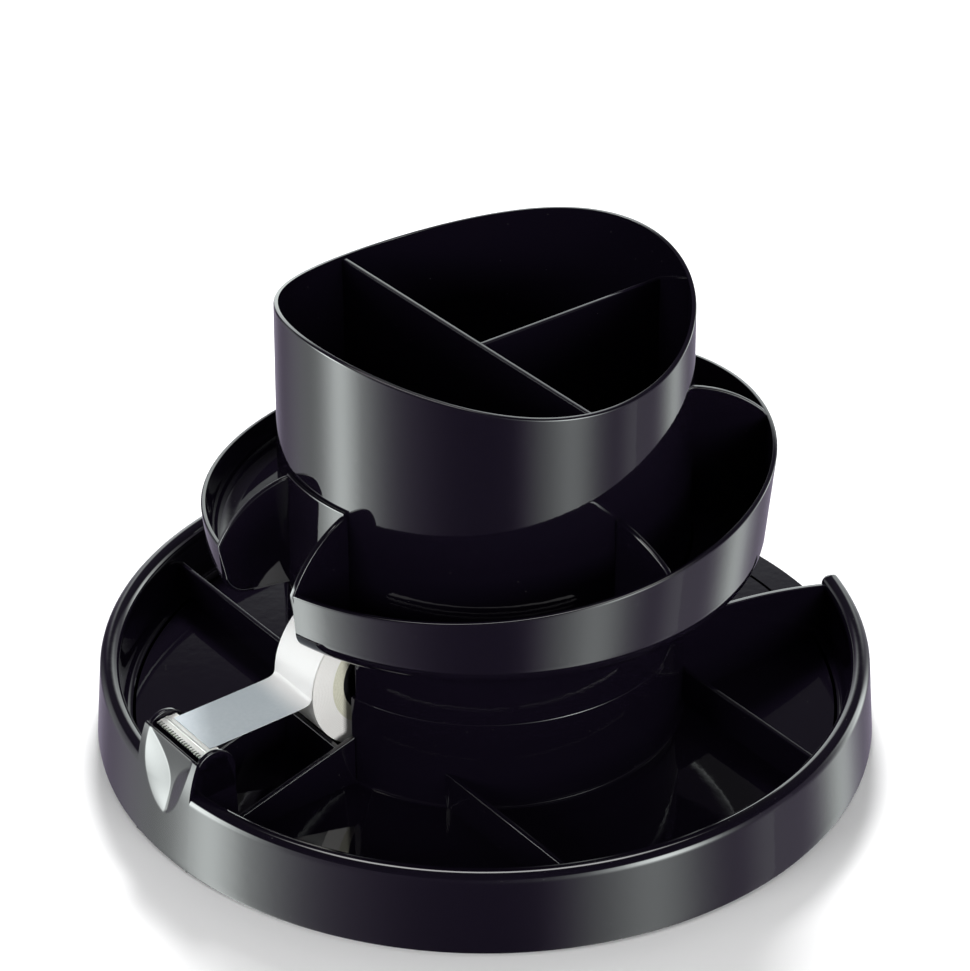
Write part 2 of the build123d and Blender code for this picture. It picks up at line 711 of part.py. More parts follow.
with BuildPart() as tape_roll:
    with BuildSketch(spindle):
        Circle(tape_radius)
        Circle(core_radius, mode=Mode.SUBTRACT)
    extrude(amount=tape_width / 2, both=True)

# serrated steel strip on the head's platform, its teeth towards the desk's edge
blade_width = head_width - 1.0
tooth_count = 23
tooth_length = 0.9
tooth = blade_width / tooth_count
blade_back = head_inner + 4.2
blade_front = head_outer - 2.6
with BuildPart() as cutter_blade:
    with BuildSketch(deck(platform)):
        with Locations(((blade_back + blade_front) / 2, 0)):
            Rectangle(blade_front - blade_back, blade_width)
        for k in range(tooth_count):
            start = -blade_width / 2 + k * tooth
            tip = (blade_front + tooth_length, start + tooth / 2)
            Polygon((blade_front, start), tip, (blade_front, start + tooth), align=None)
    extrude(amount=blade_thickness)

# the free end of the tape, from the roll to just short of the teeth
strip_leave = spindle_height - 1.3
strip_start = (spindle_offset + tape_radius + free_gap, strip_leave)
strip_end = (blade_front - 1.4, platform + blade_thickness)
strip_bend = (blade_back - 0.6, platform + blade_thickness)
with BuildPart() as tape_strip:
    with BuildSketch(side(0)):
        Polygon(
            strip_start, strip_bend, strip_end, (strip_end[0], strip_end[1] + strip_thickness),
            (strip_bend[0], strip_bend[1] + strip_thickness),
            (strip_start[0], strip_start[1] + strip_thickness), align=None,
        )
    extrude(amount=tape_width / 2, both=True)

# ---- write the pieces ------------------------------------------------------------------------------
save("foot_plate", foot_plate.part)
save("rubber_feet", rubber_feet.part)
save("race_lower", race_lower)
save("ball_cage", ball_cage.part)
save("bearing_balls", bearing_balls.part)
save("race_upper", race_upper)
save("lower_tray", lower_tray.part)
save("pivot_washer", pivot_washer.part)
save("pivot_screw", pivot_screw)
save("middle_tray", middle_tray.part)
save("column_screws", column_screws.part)
save("pen_cup", pen_cup.part)
save("cup_divider", cup_divider.part)
save("cup_screws", cup_screws.part)
save("cutter_blade", cutter_blade.part)
save("tape_strip", tape_strip.part)
save("spindle_axle", spindle_axle.part)
save("spindle_wheel", spindle_wheel.part)
save("tape_core", tape_core.part)
save("tape_roll", tape_roll.part)
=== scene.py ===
from math import asin, atan2, cos, hypot, pi, radians, sin, sqrt

import bmesh
import bpy
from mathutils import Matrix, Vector


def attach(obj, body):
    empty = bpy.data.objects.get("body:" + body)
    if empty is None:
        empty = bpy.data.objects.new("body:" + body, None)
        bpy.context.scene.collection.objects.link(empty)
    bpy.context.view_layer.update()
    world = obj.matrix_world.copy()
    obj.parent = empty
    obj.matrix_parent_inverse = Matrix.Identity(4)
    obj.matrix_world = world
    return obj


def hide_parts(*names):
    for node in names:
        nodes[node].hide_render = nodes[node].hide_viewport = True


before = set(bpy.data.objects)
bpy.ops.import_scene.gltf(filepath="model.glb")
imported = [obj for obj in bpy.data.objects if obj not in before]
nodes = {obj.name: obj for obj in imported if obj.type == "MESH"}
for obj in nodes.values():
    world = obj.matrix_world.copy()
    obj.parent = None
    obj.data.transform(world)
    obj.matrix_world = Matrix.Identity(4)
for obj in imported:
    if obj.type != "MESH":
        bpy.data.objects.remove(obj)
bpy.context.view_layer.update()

# ---- camera ----
camera_data = bpy.data.cameras.new("camera")
camera_data.sensor_width = 36.0
camera_data.sensor_fit = "HORIZONTAL"
camera_data.lens = 118.76
camera_data.clip_start = 0.05
camera_data.clip_end = 20.0
camera = bpy.data.objects.new("camera", camera_data)
camera.location = (0.0, -0.81565, 0.57920)
camera.rotation_euler = (pi / 2 - 0.548, 0.0, 0.0)
bpy.context.scene.collection.objects.link(camera)
bpy.context.scene.camera = camera


# ---- foot plate ----
# The round plate that stays still on the desk while everything above it turns.
# Injection-moulded black plastic with a satin, slightly grained surface. The pads sit in
# recesses below it and the lower race between two ribs on top.
def node_group(name, inputs, outputs):
    """An empty shader node group with its sockets, and its input and output nodes."""
    tree = bpy.data.node_groups.new(name, "ShaderNodeTree")
    for label, kind, default in inputs:
        socket = tree.interface.new_socket(label, in_out="INPUT", socket_type=kind)
        socket.default_value = default
    for label, kind in outputs:
        tree.interface.new_socket(label, in_out="OUTPUT", socket_type=kind)
    return tree, tree.nodes.new("NodeGroupInput"), tree.nodes.new("NodeGroupOutput")


def node(tree, kind, links=None, **settings):
    """A shader node with its settings, its constants and its links in one place."""
    made = tree.nodes.new(kind)
    for key, value in settings.items():
        setattr(made, key, value)
    for key, value in (links or {}).items():
        socket = made.inputs[key]
        if isinstance(value, bpy.types.NodeSocket):
            tree.links.new(value, socket)
        else:
            socket.default_value = value
    return made


def build_skin_group():
    """Moulded surface: orange peel and grain as a normal, smears and dust as roughness, dust as a mask."""
    tree, given, out = node_group("moulded_skin", [
        ("Roughness", "NodeSocketFloat", 0.1), ("Peel", "NodeSocketFloat", 0.03),
        ("Grain", "NodeSocketFloat", 0.0), ("Smears", "NodeSocketFloat", 0.05),
        ("Dust", "NodeSocketFloat", 0.3),
    ], [("Roughness", "NodeSocketFloat"), ("Normal", "NodeSocketVector"), ("Dust", "NodeSocketFloat")])
    place = node(tree, "ShaderNodeTexCoord").outputs["Object"]
    peel = node(tree, "ShaderNodeTexNoise", {"Vector": place, "Scale": 260.0, "Detail": 2.0})
    grain = node(tree, "ShaderNodeTexNoise", {"Vector": place, "Scale": 3200.0, "Detail": 3.0})
    smear = node(tree, "ShaderNodeTexNoise", {"Vector": place, "Scale": 38.0, "Detail": 5.0,
                                              "Roughness": 0.6, "Distortion": 0.8})
    smear_map = node(tree, "ShaderNodeMapRange", {"Value": smear.outputs["Fac"], "From Min": 0.45,
                                                  "From Max": 0.8, "To Min": 0.0, "To Max": 1.0})
    cells = node(tree, "ShaderNodeTexVoronoi", {"Vector": place, "Scale": 420.0, "Randomness": 1.0})
    pick = node(tree, "ShaderNodeSeparateColor", {"Color": cells.outputs["Color"]})
    near = node(tree, "ShaderNodeMath", {0: cells.outputs["Distance"], 1: 0.055}, operation="LESS_THAN")
    rare = node(tree, "ShaderNodeMath", {0: pick.outputs["Red"], 1: 0.82}, operation="GREATER_THAN")
    speck = node(tree, "ShaderNodeMath", {0: near.outputs[0], 1: rare.outputs[0]}, operation="MULTIPLY")
    dust = node(tree, "ShaderNodeMath", {0: speck.outputs[0], 1: given.outputs["Dust"]},
                operation="MULTIPLY")
    smeared = node(tree, "ShaderNodeMath", {0: smear_map.outputs["Result"], 1: given.outputs["Smears"],
                                            2: given.outputs["Roughness"]}, operation="MULTIPLY_ADD")
    rough = node(tree, "ShaderNodeMath", {0: dust.outputs[0], 1: 0.5, 2: smeared.outputs[0]},
                 operation="MULTIPLY_ADD")
    bump_a = node(tree, "ShaderNodeBump", {"Height": peel.outputs["Fac"],
                                           "Strength": given.outputs["Peel"], "Distance": 0.001})
    bump_b = node(tree, "ShaderNodeBump", {"Height": grain.outputs["Fac"],
                                           "Strength": given.outputs["Grain"], "Distance": 0.0002,
                                           "Normal": bump_a.outputs["Normal"]})
    tree.links.new(rough.outputs[0], out.inputs["Roughness"])
    tree.links.new(bump_b.outputs["Normal"], out.inputs["Normal"])
    tree.links.new(dust.outputs[0], out.inputs["Dust"])
    return tree


skin_group = build_skin_group()


def new_material(name):
    """A node material and its Principled shader."""
    made = bpy.data.materials.new(name)
    made.use_nodes = True
    return made, made.node_tree, made.node_tree.nodes["Principled BSDF"]


DUST_COLOUR = (0.35, 0.34, 0.33, 1.0)


def moulded(name, colour, roughness, peel, grain, smears, dust):
    """A moulded plastic or rubber finish from the shared skin."""
    made, tree, shader = new_material(name)
    skin = node(tree, "ShaderNodeGroup", node_tree=skin_group)
    for label, value in (("Roughness", roughness), ("Peel", peel), ("Grain", grain),
                         ("Smears", smears), ("Dust", dust)):
        skin.inputs[label].default_value = value
    mix = node(tree, "ShaderNodeMix", {"Factor": skin.outputs["Dust"]}, data_type="RGBA")
    mix.inputs["A"].default_value = colour
    mix.inputs["B"].default_value = DUST_COLOUR
    tree.links.new(mix.outputs["Result"], shader.inputs["Base Color"])
    tree.links.new(skin.outputs["Roughness"], shader.inputs["Roughness"])
    tree.links.new(skin.outputs["Normal"], shader.inputs["Normal"])
    shader.inputs["IOR"].default_value = 1.59
    return made


def dress(obj, material):
    """One material on the whole mesh."""
    obj.data.materials.clear()
    obj.data.materials.append(material)
    for face in obj.data.polygons:
        face.material_index = 0


satin_black = moulded("satin_black", (0.012, 0.012, 0.014, 1.0), 0.38, 0.02, 0.25, 0.08, 0.3)
dress(nodes["foot_plate"], satin_black)

# ---- rubber feet ----
# Six round pads of black rubber in shallow recesses under the foot plate.
# Die-cut and bonded in; matt, a little dusty, with a worn edge.
def shape_tree(name, sizes):
    """An empty Geometry Nodes tree with a material and named sizes as its inputs."""
    tree = bpy.data.node_groups.new(name, "GeometryNodeTree")
    tree.interface.new_socket("Geometry", in_out="INPUT", socket_type="NodeSocketGeometry")
    tree.interface.new_socket("Finish", in_out="INPUT", socket_type="NodeSocketMaterial")
    for label, kind in sizes:
        tree.interface.new_socket(label, in_out="INPUT", socket_type=kind)
    tree.interface.new_socket("Geometry", in_out="OUTPUT", socket_type="NodeSocketGeometry")
    return tree, tree.nodes.new("NodeGroupInput"), tree.nodes.new("NodeGroupOutput")


def finish_tree(tree, given, out, instances):
    """Ends a tree: instances made real and merged where they meet, and the finish."""
    real = node(tree, "GeometryNodeRealizeInstances", {"Geometry": instances})
    merged = node(tree, "GeometryNodeMergeByDistance", {"Geometry": real.outputs[0], "Distance": 0.00001})
    finish = node(tree, "GeometryNodeSetMaterial", {"Geometry": merged.outputs[0],
                                                    "Material": given.outputs["Finish"]})
    tree.links.new(finish.outputs[0], out.inputs["Geometry"])


def grown(name, tree, values, body, stands_for):
    """Runs a tree with its values and keeps the result as one plain mesh in metres on its body."""
    seed = bpy.data.meshes.new("seed")
    obj = bpy.data.objects.new(name, seed)
    bpy.context.scene.collection.objects.link(obj)
    modifier = obj.modifiers.new("grown", "NODES")
    modifier.node_group = tree
    for item in tree.interface.items_tree:
        if item.in_out == "INPUT" and item.name in values:
            modifier[item.identifier] = values[item.name]
    graph = bpy.context.evaluated_depsgraph_get()
    baked = bpy.data.meshes.new_from_object(obj.evaluated_get(graph))
    obj.modifiers.clear()
    obj.data = baked
    bpy.data.meshes.remove(seed)
    baked.name = name
    for face in baked.polygons:
        face.use_smooth = True
    baked.set_sharp_from_angle(angle=radians(38.0))
    dress(obj, values["Finish"])
    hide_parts(*stands_for)
    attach(obj, body)


def pads_on_circle():
    """Round pads with eased edges, spaced evenly on a circle."""
    tree, given, out = shape_tree("pads_on_circle", [
        ("Circle Radius", "NodeSocketFloat"), ("Count", "NodeSocketInt"), ("Pad Radius", "NodeSocketFloat"),
        ("Bottom", "NodeSocketFloat"), ("Thickness", "NodeSocketFloat"), ("Ease", "NodeSocketFloat")])
    low_radius = node(tree, "ShaderNodeMath", {0: given.outputs["Pad Radius"], 1: given.outputs["Ease"]},
                      operation="SUBTRACT")
    straight = node(tree, "ShaderNodeMath", {0: given.outputs["Ease"], 1: -2.0,
                                             2: given.outputs["Thickness"]}, operation="MULTIPLY_ADD")
    grow = node(tree, "ShaderNodeMath", {0: given.outputs["Pad Radius"], 1: low_radius.outputs[0]},
                operation="DIVIDE")
    shrink = node(tree, "ShaderNodeMath", {0: low_radius.outputs[0], 1: given.outputs["Pad Radius"]},
                  operation="DIVIDE")
    disc = node(tree, "GeometryNodeMeshCircle", {"Vertices": 48, "Radius": low_radius.outputs[0]},
                fill_type="NGON")
    up = node(tree, "ShaderNodeCombineXYZ", {"Z": 1.0}).outputs[0]
    underside = node(tree, "GeometryNodeFlipFaces", {"Mesh": disc.outputs[0]})
    body = disc.outputs[0]
    top = None
    for distance, scale in ((given.outputs["Ease"], grow), (straight.outputs[0], None),
                            (given.outputs["Ease"], shrink)):
        drawn = node(tree, "GeometryNodeExtrudeMesh", {"Mesh": body, "Offset": up, "Offset Scale": distance},
                     mode="FACES")
        if top is not None:
            tree.links.new(top, drawn.inputs["Selection"])
        body = drawn.outputs["Mesh"]
        top = drawn.outputs["Top"]
        if scale is not None:
            body = node(tree, "GeometryNodeScaleElements", {"Geometry": body, "Selection": top,
                                                            "Scale": scale.outputs[0]}).outputs[0]
    pad = node(tree, "GeometryNodeJoinGeometry")
    tree.links.new(body, pad.inputs[0])
    tree.links.new(underside.outputs[0], pad.inputs[0])
    ring = node(tree, "GeometryNodeMeshCircle", {"Vertices": given.outputs["Count"],
                                                 "Radius": given.outputs["Circle Radius"]})
    height = node(tree, "ShaderNodeCombineXYZ", {"Z": given.outputs["Bottom"]})
    moved = node(tree, "GeometryNodeSetPosition", {"Geometry": ring.outputs[0], "Offset": height.outputs[0]})
    placed = node(tree, "GeometryNodeInstanceOnPoints", {"Points": moved.outputs[0],
                                                         "Instance": pad.outputs[0]})
    finish_tree(tree, given, out, placed.outputs[0])
    return tree


rubber_matt = moulded("rubber_matt", (0.02, 0.02, 0.021, 1.0), 0.75, 0.05, 0.6, 0.1, 0.7)
grown("rubber_feet_pads", pads_on_circle(), {
    "Finish": rubber_matt, "Circle Radius": 0.066, "Count": 6, "Pad Radius": 0.007,
    "Bottom": 0.0, "Thickness": 0.0019, "Ease": 0.0003}, "foot", ["rubber_feet"])


# ---- lower race ----
# A pressed steel ring with a round ball groove, held on the foot plate between two ribs.
# Its rolled surface shows turning marks round the axis.
def build_turned_group():
    """Fine turning marks round an axis through a point, as a roughness and a normal."""
    tree, given, out = node_group("turned_metal", [
        ("Roughness", "NodeSocketFloat", 0.25), ("Marks", "NodeSocketFloat", 0.3),
    ], [("Roughness", "NodeSocketFloat"), ("Normal", "NodeSocketVector")])
    place = node(tree, "ShaderNodeTexCoord").outputs["Object"]
    parts = node(tree, "ShaderNodeSeparateXYZ", {"Vector": place})
    flat = node(tree, "ShaderNodeCombineXYZ", {"X": parts.outputs["X"], "Y": parts.outputs["Y"]})
    radius = node(tree, "ShaderNodeVectorMath", {0: flat.outputs["Vector"]}, operation="LENGTH")
    lines = node(tree, "ShaderNodeCombineXYZ", {"X": radius.outputs["Value"], "Y": parts.outputs["Z"]})
    marks = node(tree, "ShaderNodeTexNoise", {"Vector": lines.outputs["Vector"], "Scale": 5200.0,
                                              "Detail": 3.0})
    cloud = node(tree, "ShaderNodeTexNoise", {"Vector": place, "Scale": 120.0, "Detail": 4.0})
    spread = node(tree, "ShaderNodeMath", {0: cloud.outputs["Fac"], 1: 0.15,
                                           2: given.outputs["Roughness"]}, operation="MULTIPLY_ADD")
    bump = node(tree, "ShaderNodeBump", {"Height": marks.outputs["Fac"],
                                         "Strength": given.outputs["Marks"], "Distance": 0.0001})
    tree.links.new(spread.outputs[0], out.inputs["Roughness"])
    tree.links.new(bump.outputs["Normal"], out.inputs["Normal"])
    return tree


turned_group = build_turned_group()


def metal(name, colour, roughness, marks):
    """A bare metal finish with turning marks."""
    made, tree, shader = new_material(name)
    skin = node(tree, "ShaderNodeGroup", node_tree=turned_group)
    skin.inputs["Roughness"].default_value = roughness
    skin.inputs["Marks"].default_value = marks
    shader.inputs["Base Color"].default_value = colour
    shader.inputs["Metallic"].default_value = 1.0
    tree.links.new(skin.outputs["Roughness"], shader.inputs["Roughness"])
    tree.links.new(skin.outputs["Normal"], shader.inputs["Normal"])
    return made


pressed_steel = metal("pressed_steel", (0.56, 0.56, 0.55, 1.0), 0.24, 0.35)
dress(nodes["race_lower"], pressed_steel)

# ---- ball cage ----
# A flat ring of natural nylon with a round hole for each ball.
# It keeps the balls apart and turns at half the organizer's speed.
nylon_white = moulded("nylon_white", (0.72, 0.70, 0.64, 1.0), 0.42, 0.04, 0.2, 0.05, 0.1)
dress(nodes["ball_cage"], nylon_white)

# ---- bearing balls ----
# Sixteen polished steel balls that carry the weight between the two races.
# They lie in the races' grooves and in the cage's holes, with a film of grease.
def balls_on_circle():
    """Balls spaced evenly on a circle."""
    tree, given, out = shape_tree("balls_on_circle", [
        ("Circle Radius", "NodeSocketFloat"), ("Count", "NodeSocketInt"), ("Ball Radius", "NodeSocketFloat"),
        ("Height", "NodeSocketFloat")])
    ball = node(tree, "GeometryNodeMeshIcoSphere", {"Radius": given.outputs["Ball Radius"],
                                                    "Subdivisions": 4})
    ring = node(tree, "GeometryNodeMeshCircle", {"Vertices": given.outputs["Count"],
                                                 "Radius": given.outputs["Circle Radius"]})
    height = node(tree, "ShaderNodeCombineXYZ", {"Z": given.outputs["Height"]})
    moved = node(tree, "GeometryNodeSetPosition", {"Geometry": ring.outputs[0], "Offset": height.outputs[0]})
    placed = node(tree, "GeometryNodeInstanceOnPoints", {"Points": moved.outputs[0],
                                                         "Instance": ball.outputs[0]})
    finish_tree(tree, given, out, placed.outputs[0])
    return tree


polished_steel = metal("polished_steel", (0.66, 0.66, 0.67, 1.0), 0.06, 0.05)
grown("bearing_balls_set", balls_on_circle(), {
    "Finish": polished_steel, "Circle Radius": 0.045, "Count": 16, "Ball Radius": 0.00247,
    "Height": 0.00695}, "ball_ring", ["bearing_balls"])

# ---- upper race ----
# The same ring as the lower race, upside down under the tray's hub.
# Ribs in the hub's underside hold it.
dress(nodes["race_upper"], pressed_steel)

# ---- lower tray ----
# Round compartment tray in glossy black polystyrene, moulded in one with its rolled rim, the
# dividers, the walls of the note-paper pocket, the tape well in the hub and the cutter's head.
# It turns on the bearing and is held down by the pivot screw.
TO_CUTTER = radians(217.5)
N = Vector((cos(TO_CUTTER), sin(TO_CUTTER), 0.0))
T = Vector((-N.y, N.x, 0.0))
WEB = 1.6
WALL = 1.8
FLOOR_TOP = 7.2
FLOOR_UNDER = 5.0
LIP_RADIUS = 115.0
LIP_TUBE = 3.0
LIP_HEIGHT = 23.8
HUB_RADIUS = 61.0
HUB_TOP = 37.2
DIVIDER_TOP = 19.3
DIVIDER_OFFSET = 45.0
POCKET_HALF = 39.5
WELL_HALF = 14.0
CRADLE_OFFSET = 65.0
SPINDLE_OUT = 47.0
SPINDLE_HEIGHT = 38.5
SLOT_HALF = 2.55


def loft(bm, loops, wrap=False):
    """A closed shell through loops of points in millimetres; the ends are capped unless it wraps round."""
    rows = [[bm.verts.new(p) for p in loop] for loop in loops]
    count = len(rows[0])
    pairs = list(zip(rows, rows[1:] + rows[:1])) if wrap else list(zip(rows, rows[1:]))
    for a, b in pairs:
        for k in range(count):
            m = (k + 1) % count
            bm.faces.new((a[k], a[m], b[m], b[k]))
    if not wrap:
        bm.faces.new(list(reversed(rows[0])))
        bm.faces.new(rows[-1])


def around(azimuth, radius, height):
    """A point from a polar position, azimuth in radians."""
    return Vector((radius * cos(azimuth), radius * sin(azimuth), height))


def turn(bm, profile, count, start=0.0, stop=None):
    """Turns a closed profile of (radius, height) round the Z axis, fully or from start to stop."""
    if stop is None:
        angles = [start + 2 * pi * k / count for k in range(count)]
    else:
        edge = 0.002
        inner = [start + edge + (stop - start - 2 * edge) * k / count for k in range(count + 1)]
        angles = [start] + inner + [stop]
    shape = profile if callable(profile) else (lambda angle: profile)
    loft(bm, [[around(a, r, z) for r, z in shape(a)] for a in angles], wrap=stop is None)


def plate(bm, outline, place, thickness, bevel):
    """A flat wall: an outline of (along, up) in the vertical plane at place(along, up, through)."""
    half = thickness / 2
    part = bmesh.new()
    loft(part, [[place(x, y, -half) for x, y in outline], [place(x, y, half) for x, y in outline]])
    bmesh.ops.recalc_face_normals(part, faces=part.faces)
    sharp = [e for e in part.edges if len(e.link_faces) == 2 and e.calc_face_angle(0.0) > radians(40)]
    bmesh.ops.bevel(part, geom=sharp, offset=bevel, segments=3, profile=0.5, affect="EDGES",
                    clamp_overlap=True)
    scratch = bpy.data.meshes.new("scratch")
    part.to_mesh(scratch)
    part.free()
    bm.from_mesh(scratch)
    bpy.data.meshes.remove(scratch)


def across_n(offset):
    """Places a wall that stands at a distance along N; along is T."""
    return lambda x, y, w: N * (offset + w) + T * x + Vector((0, 0, y))


def across_t(offset):
    """Places a wall that stands at a distance along T; along is N."""
    return lambda x, y, w: N * x + T * (offset + w) + Vector((0, 0, y))


def radial(azimuth):
    """Places a wall that stands on a radius; along is outwards."""
    out = Vector((cos(azimuth), sin(azimuth), 0.0))
    beside = Vector((-out.y, out.x, 0.0))
    return lambda x, y, w: out * x + beside * w + Vector((0, 0, y))


def curve_through(first, middle, last, steps):
    """Points of the circle through three points, from the first to the last."""
    (ax, ay), (bx, by), (cx, cy) = first, middle, last
    d = 2 * (ax * (by - cy) + bx * (cy - ay) + cx * (ay - by))
    ux = ((ax**2 + ay**2) * (by - cy) + (bx**2 + by**2) * (cy - ay) + (cx**2 + cy**2) * (ay - by)) / d
    uy = ((ax**2 + ay**2) * (cx - bx) + (bx**2 + by**2) * (ax - cx) + (cx**2 + cy**2) * (bx - ax)) / d
    radius = hypot(ax - ux, ay - uy)
    a0, a1, a2 = (atan2(y - uy, x - ux) for x, y in (first, middle, last))
    sweep = (a2 - a0) % (2 * pi)
    if (a1 - a0) % (2 * pi) > sweep:
        sweep -= 2 * pi
    return [(ux + radius * cos(a0 + sweep * k / steps), uy + radius * sin(a0 + sweep * k / steps))
            for k in range(steps + 1)]


def piece(name, bm, material, body, stands_for, smooth=38.0):
    """Writes the shells out as one object in metres, with soft normals, on its CAD body."""
    bmesh.ops.remove_doubles(bm, verts=bm.verts, dist=1e-5)
    bmesh.ops.recalc_face_normals(bm, faces=bm.faces)
    bmesh.ops.scale(bm, vec=(0.001, 0.001, 0.001), verts=bm.verts)
    mesh = bpy.data.meshes.new(name)
    bm.to_mesh(mesh)
    bm.free()
    for face in mesh.polygons:
        face.use_smooth = True
    mesh.set_sharp_from_angle(angle=radians(smooth))
    obj = bpy.data.objects.new(name, mesh)
    bpy.context.scene.collection.objects.link(obj)
    weigh = obj.modifiers.new("weighted", "WEIGHTED_NORMAL")
    weigh.keep_sharp = True
    weigh.weight = 100
    graph = bpy.context.evaluated_depsgraph_get()
    baked = bpy.data.meshes.new_from_object(obj.evaluated_get(graph))
    obj.modifiers.clear()
    obj.data = baked
    bpy.data.meshes.remove(mesh)
    baked.name = name
    dress(obj, material)
    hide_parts(*stands_for)
    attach(obj, body)


def skirt_at(height):
    """Outer radius of the tray's skirt, which flares a little towards the desk."""
    return LIP_RADIUS + LIP_TUBE + 2.0 * (LIP_HEIGHT - height) / 22.8


def rim_profile():
    """Skirt, rolled lip, inner wall and the floor's edge as one closed outline."""
    lip = [(LIP_RADIUS + LIP_TUBE * cos(pi * k / 16), LIP_HEIGHT + LIP_TUBE * sin(pi * k / 16))
           for k in range(17)]
    outer = [(skirt_at(z), z) for z in (1.6, 4.0, 8.0, 12.0, 16.0, 20.0, 22.8)]
    inner = [(112.0, 22.9), (112.1, 22.3), (112.5, 21.7), (112.4, 21.0), (111.2, 9.2),
             (110.9, 8.0), (110.3, 7.4), (109.3, FLOOR_TOP), (108.0, FLOOR_TOP), (108.0, FLOOR_UNDER)]
    under = [(112.6, FLOOR_UNDER), (114.3, 21.5), (114.9, 22.6), (115.7, 22.6), (116.2, 21.5),
             (118.2, 1.0), (skirt_at(1.0) - 0.5, 1.0), (skirt_at(1.0) - 0.12, 1.15)]
    return outer + lip + inner + under


def warped_rim(bm, low, high, half_low, half_high, count):
    """The rim from low to high, its ends cut square at a distance beside N's line."""
    angles = [low, low + 0.002] + [low + (high - low) * k / count for k in range(1, count)]
    angles += [high - 0.002, high]
    profile = rim_profile()
    loops = []
    for a in angles:
        loop = []
        for r, z in profile:
            near_low = max(0.0, 1.0 - (a - low) / 0.3)
            near_high = max(0.0, 1.0 - (high - a) / 0.3)
            shift = near_low * (asin(half_low / r) - asin(half_low / LIP_RADIUS))
            shift -= near_high * (asin(half_high / r) - asin(half_high / LIP_RADIUS))
            loop.append(around(a + shift, r, z))
        loops.append(loop)
    loft(bm, loops)


tray = bmesh.new()
HEAD_HALF = 13.6
MOUTH_HALF = 39.0
head_angle = asin(HEAD_HALF / LIP_RADIUS)
mouth_angle = asin(MOUTH_HALF / LIP_RADIUS)
warped_rim(tray, TO_CUTTER + head_angle, TO_CUTTER + pi - mouth_angle, HEAD_HALF, MOUTH_HALF, 150)
warped_rim(tray, TO_CUTTER + pi + mouth_angle, TO_CUTTER + 2 * pi - head_angle, MOUTH_HALF, HEAD_HALF, 150)

# the low sill that closes the rim under the note-paper pocket's mouth
sill = [(118.2, 1.0), (119.5, 1.0), (119.9, 1.4), (skirt_at(4.0), 4.0), (skirt_at(6.7), 6.7),
        (skirt_at(FLOOR_TOP) - 0.4, FLOOR_TOP), (108.0, FLOOR_TOP), (108.0, FLOOR_UNDER),
        (117.6, FLOOR_UNDER)]
turn(tray, sill, 60, TO_CUTTER + pi - mouth_angle - 0.03, TO_CUTTER + pi + mouth_angle + 0.03)

# floor, hub and pivot
turn(tray, [(0.0, 12.4), (58.6, 12.4), (59.2, 12.9), (59.2, 14.0), (60.9, 14.0), (61.2, 8.4), (61.6, 7.6),
            (62.4, FLOOR_TOP), (109.0, FLOOR_TOP), (109.0, FLOOR_UNDER), (59.2, FLOOR_UNDER), (59.2, 10.2),
            (8.0, 10.2), (8.0, 3.7), (7.8, 3.5), (0.0, 3.5)], 256)
for inner in (39.7, 49.1):
    turn(tray, [(inner, 10.6), (inner, 9.3), (inner + 0.1, 9.2), (inner + 1.1, 9.2), (inner + 1.2, 9.3),
                (inner + 1.2, 10.6)], 128)
hub_gap = asin((WELL_HALF - WEB / 2) / HUB_RADIUS)
turn(tray, [(59.2, 13.0), (61.23, 13.0), (61.02, 36.8), (60.9, 37.1), (60.6, HUB_TOP), (59.6, HUB_TOP),
            (59.3, 37.1), (59.2, 36.8)], 220, TO_CUTTER + hub_gap, TO_CUTTER + 2 * pi - hub_gap)

# domed ends of the rolled lip beside the pocket's mouth
for side_sign in (1, -1):
    centre = N * -sqrt(LIP_RADIUS**2 - POCKET_HALF**2) + T * (POCKET_HALF * side_sign)
    centre += Vector((0, 0, LIP_HEIGHT))
    ball = bmesh.new()
    bmesh.ops.create_uvsphere(ball, u_segments=32, v_segments=20, radius=LIP_TUBE)
    bmesh.ops.translate(ball, vec=centre, verts=ball.verts)
    dome = bpy.data.meshes.new("dome")
    ball.to_mesh(dome)
    ball.free()
    tray.from_mesh(dome)
    bpy.data.meshes.remove(dome)

# straight dividers each side of the hub
ROOT = 6.1
for offset in (DIVIDER_OFFSET, -DIVIDER_OFFSET):
    for sign in (1, -1):
        near = sqrt(60.3**2 - DIVIDER_OFFSET**2) * sign
        far = sqrt(111.9**2 - DIVIDER_OFFSET**2) * sign
        plate(tray, [(near, ROOT), (far, ROOT), (far, DIVIDER_TOP), (near, DIVIDER_TOP)],
              across_n(offset), WEB, 0.35)

# walls of the tape channel, falling outwards, and the cross wall in front of the well
for offset in (WELL_HALF, -WELL_HALF):
    plate(tray, [(59.6, ROOT), (102.0, ROOT), (102.0, 12.6), (59.6, 23.7)], across_t(offset), WEB, 0.35)
plate(tray, [(-WELL_HALF, ROOT), (WELL_HALF, ROOT), (WELL_HALF, 21.6), (-WELL_HALF, 21.6)],
      across_n(CRADLE_OFFSET), WEB, 0.35)

# walls of the note-paper pocket, rising in a curve from the rim to the hub
for offset in (POCKET_HALF, -POCKET_HALF):
    full = curve_through((-118.0, 20.4), (-82.0, 31.0), (-42.7, 36.4), 30)
    start = -sqrt(60.3**2 - POCKET_HALF**2)
    reach = [(x, z) for x, z in full if -sqrt((skirt_at(z) - 0.3) ** 2 - POCKET_HALF**2) < x < start]
    edge = [(-sqrt((skirt_at(z) - 0.05) ** 2 - POCKET_HALF**2), z) for z in (20.5, 15.0, 9.0, ROOT)]
    top = list(reversed(reach)) + edge
    plate(tray, [(start, ROOT), (start, reach[-1][1])] + top, across_t(offset), WEB, 0.35)

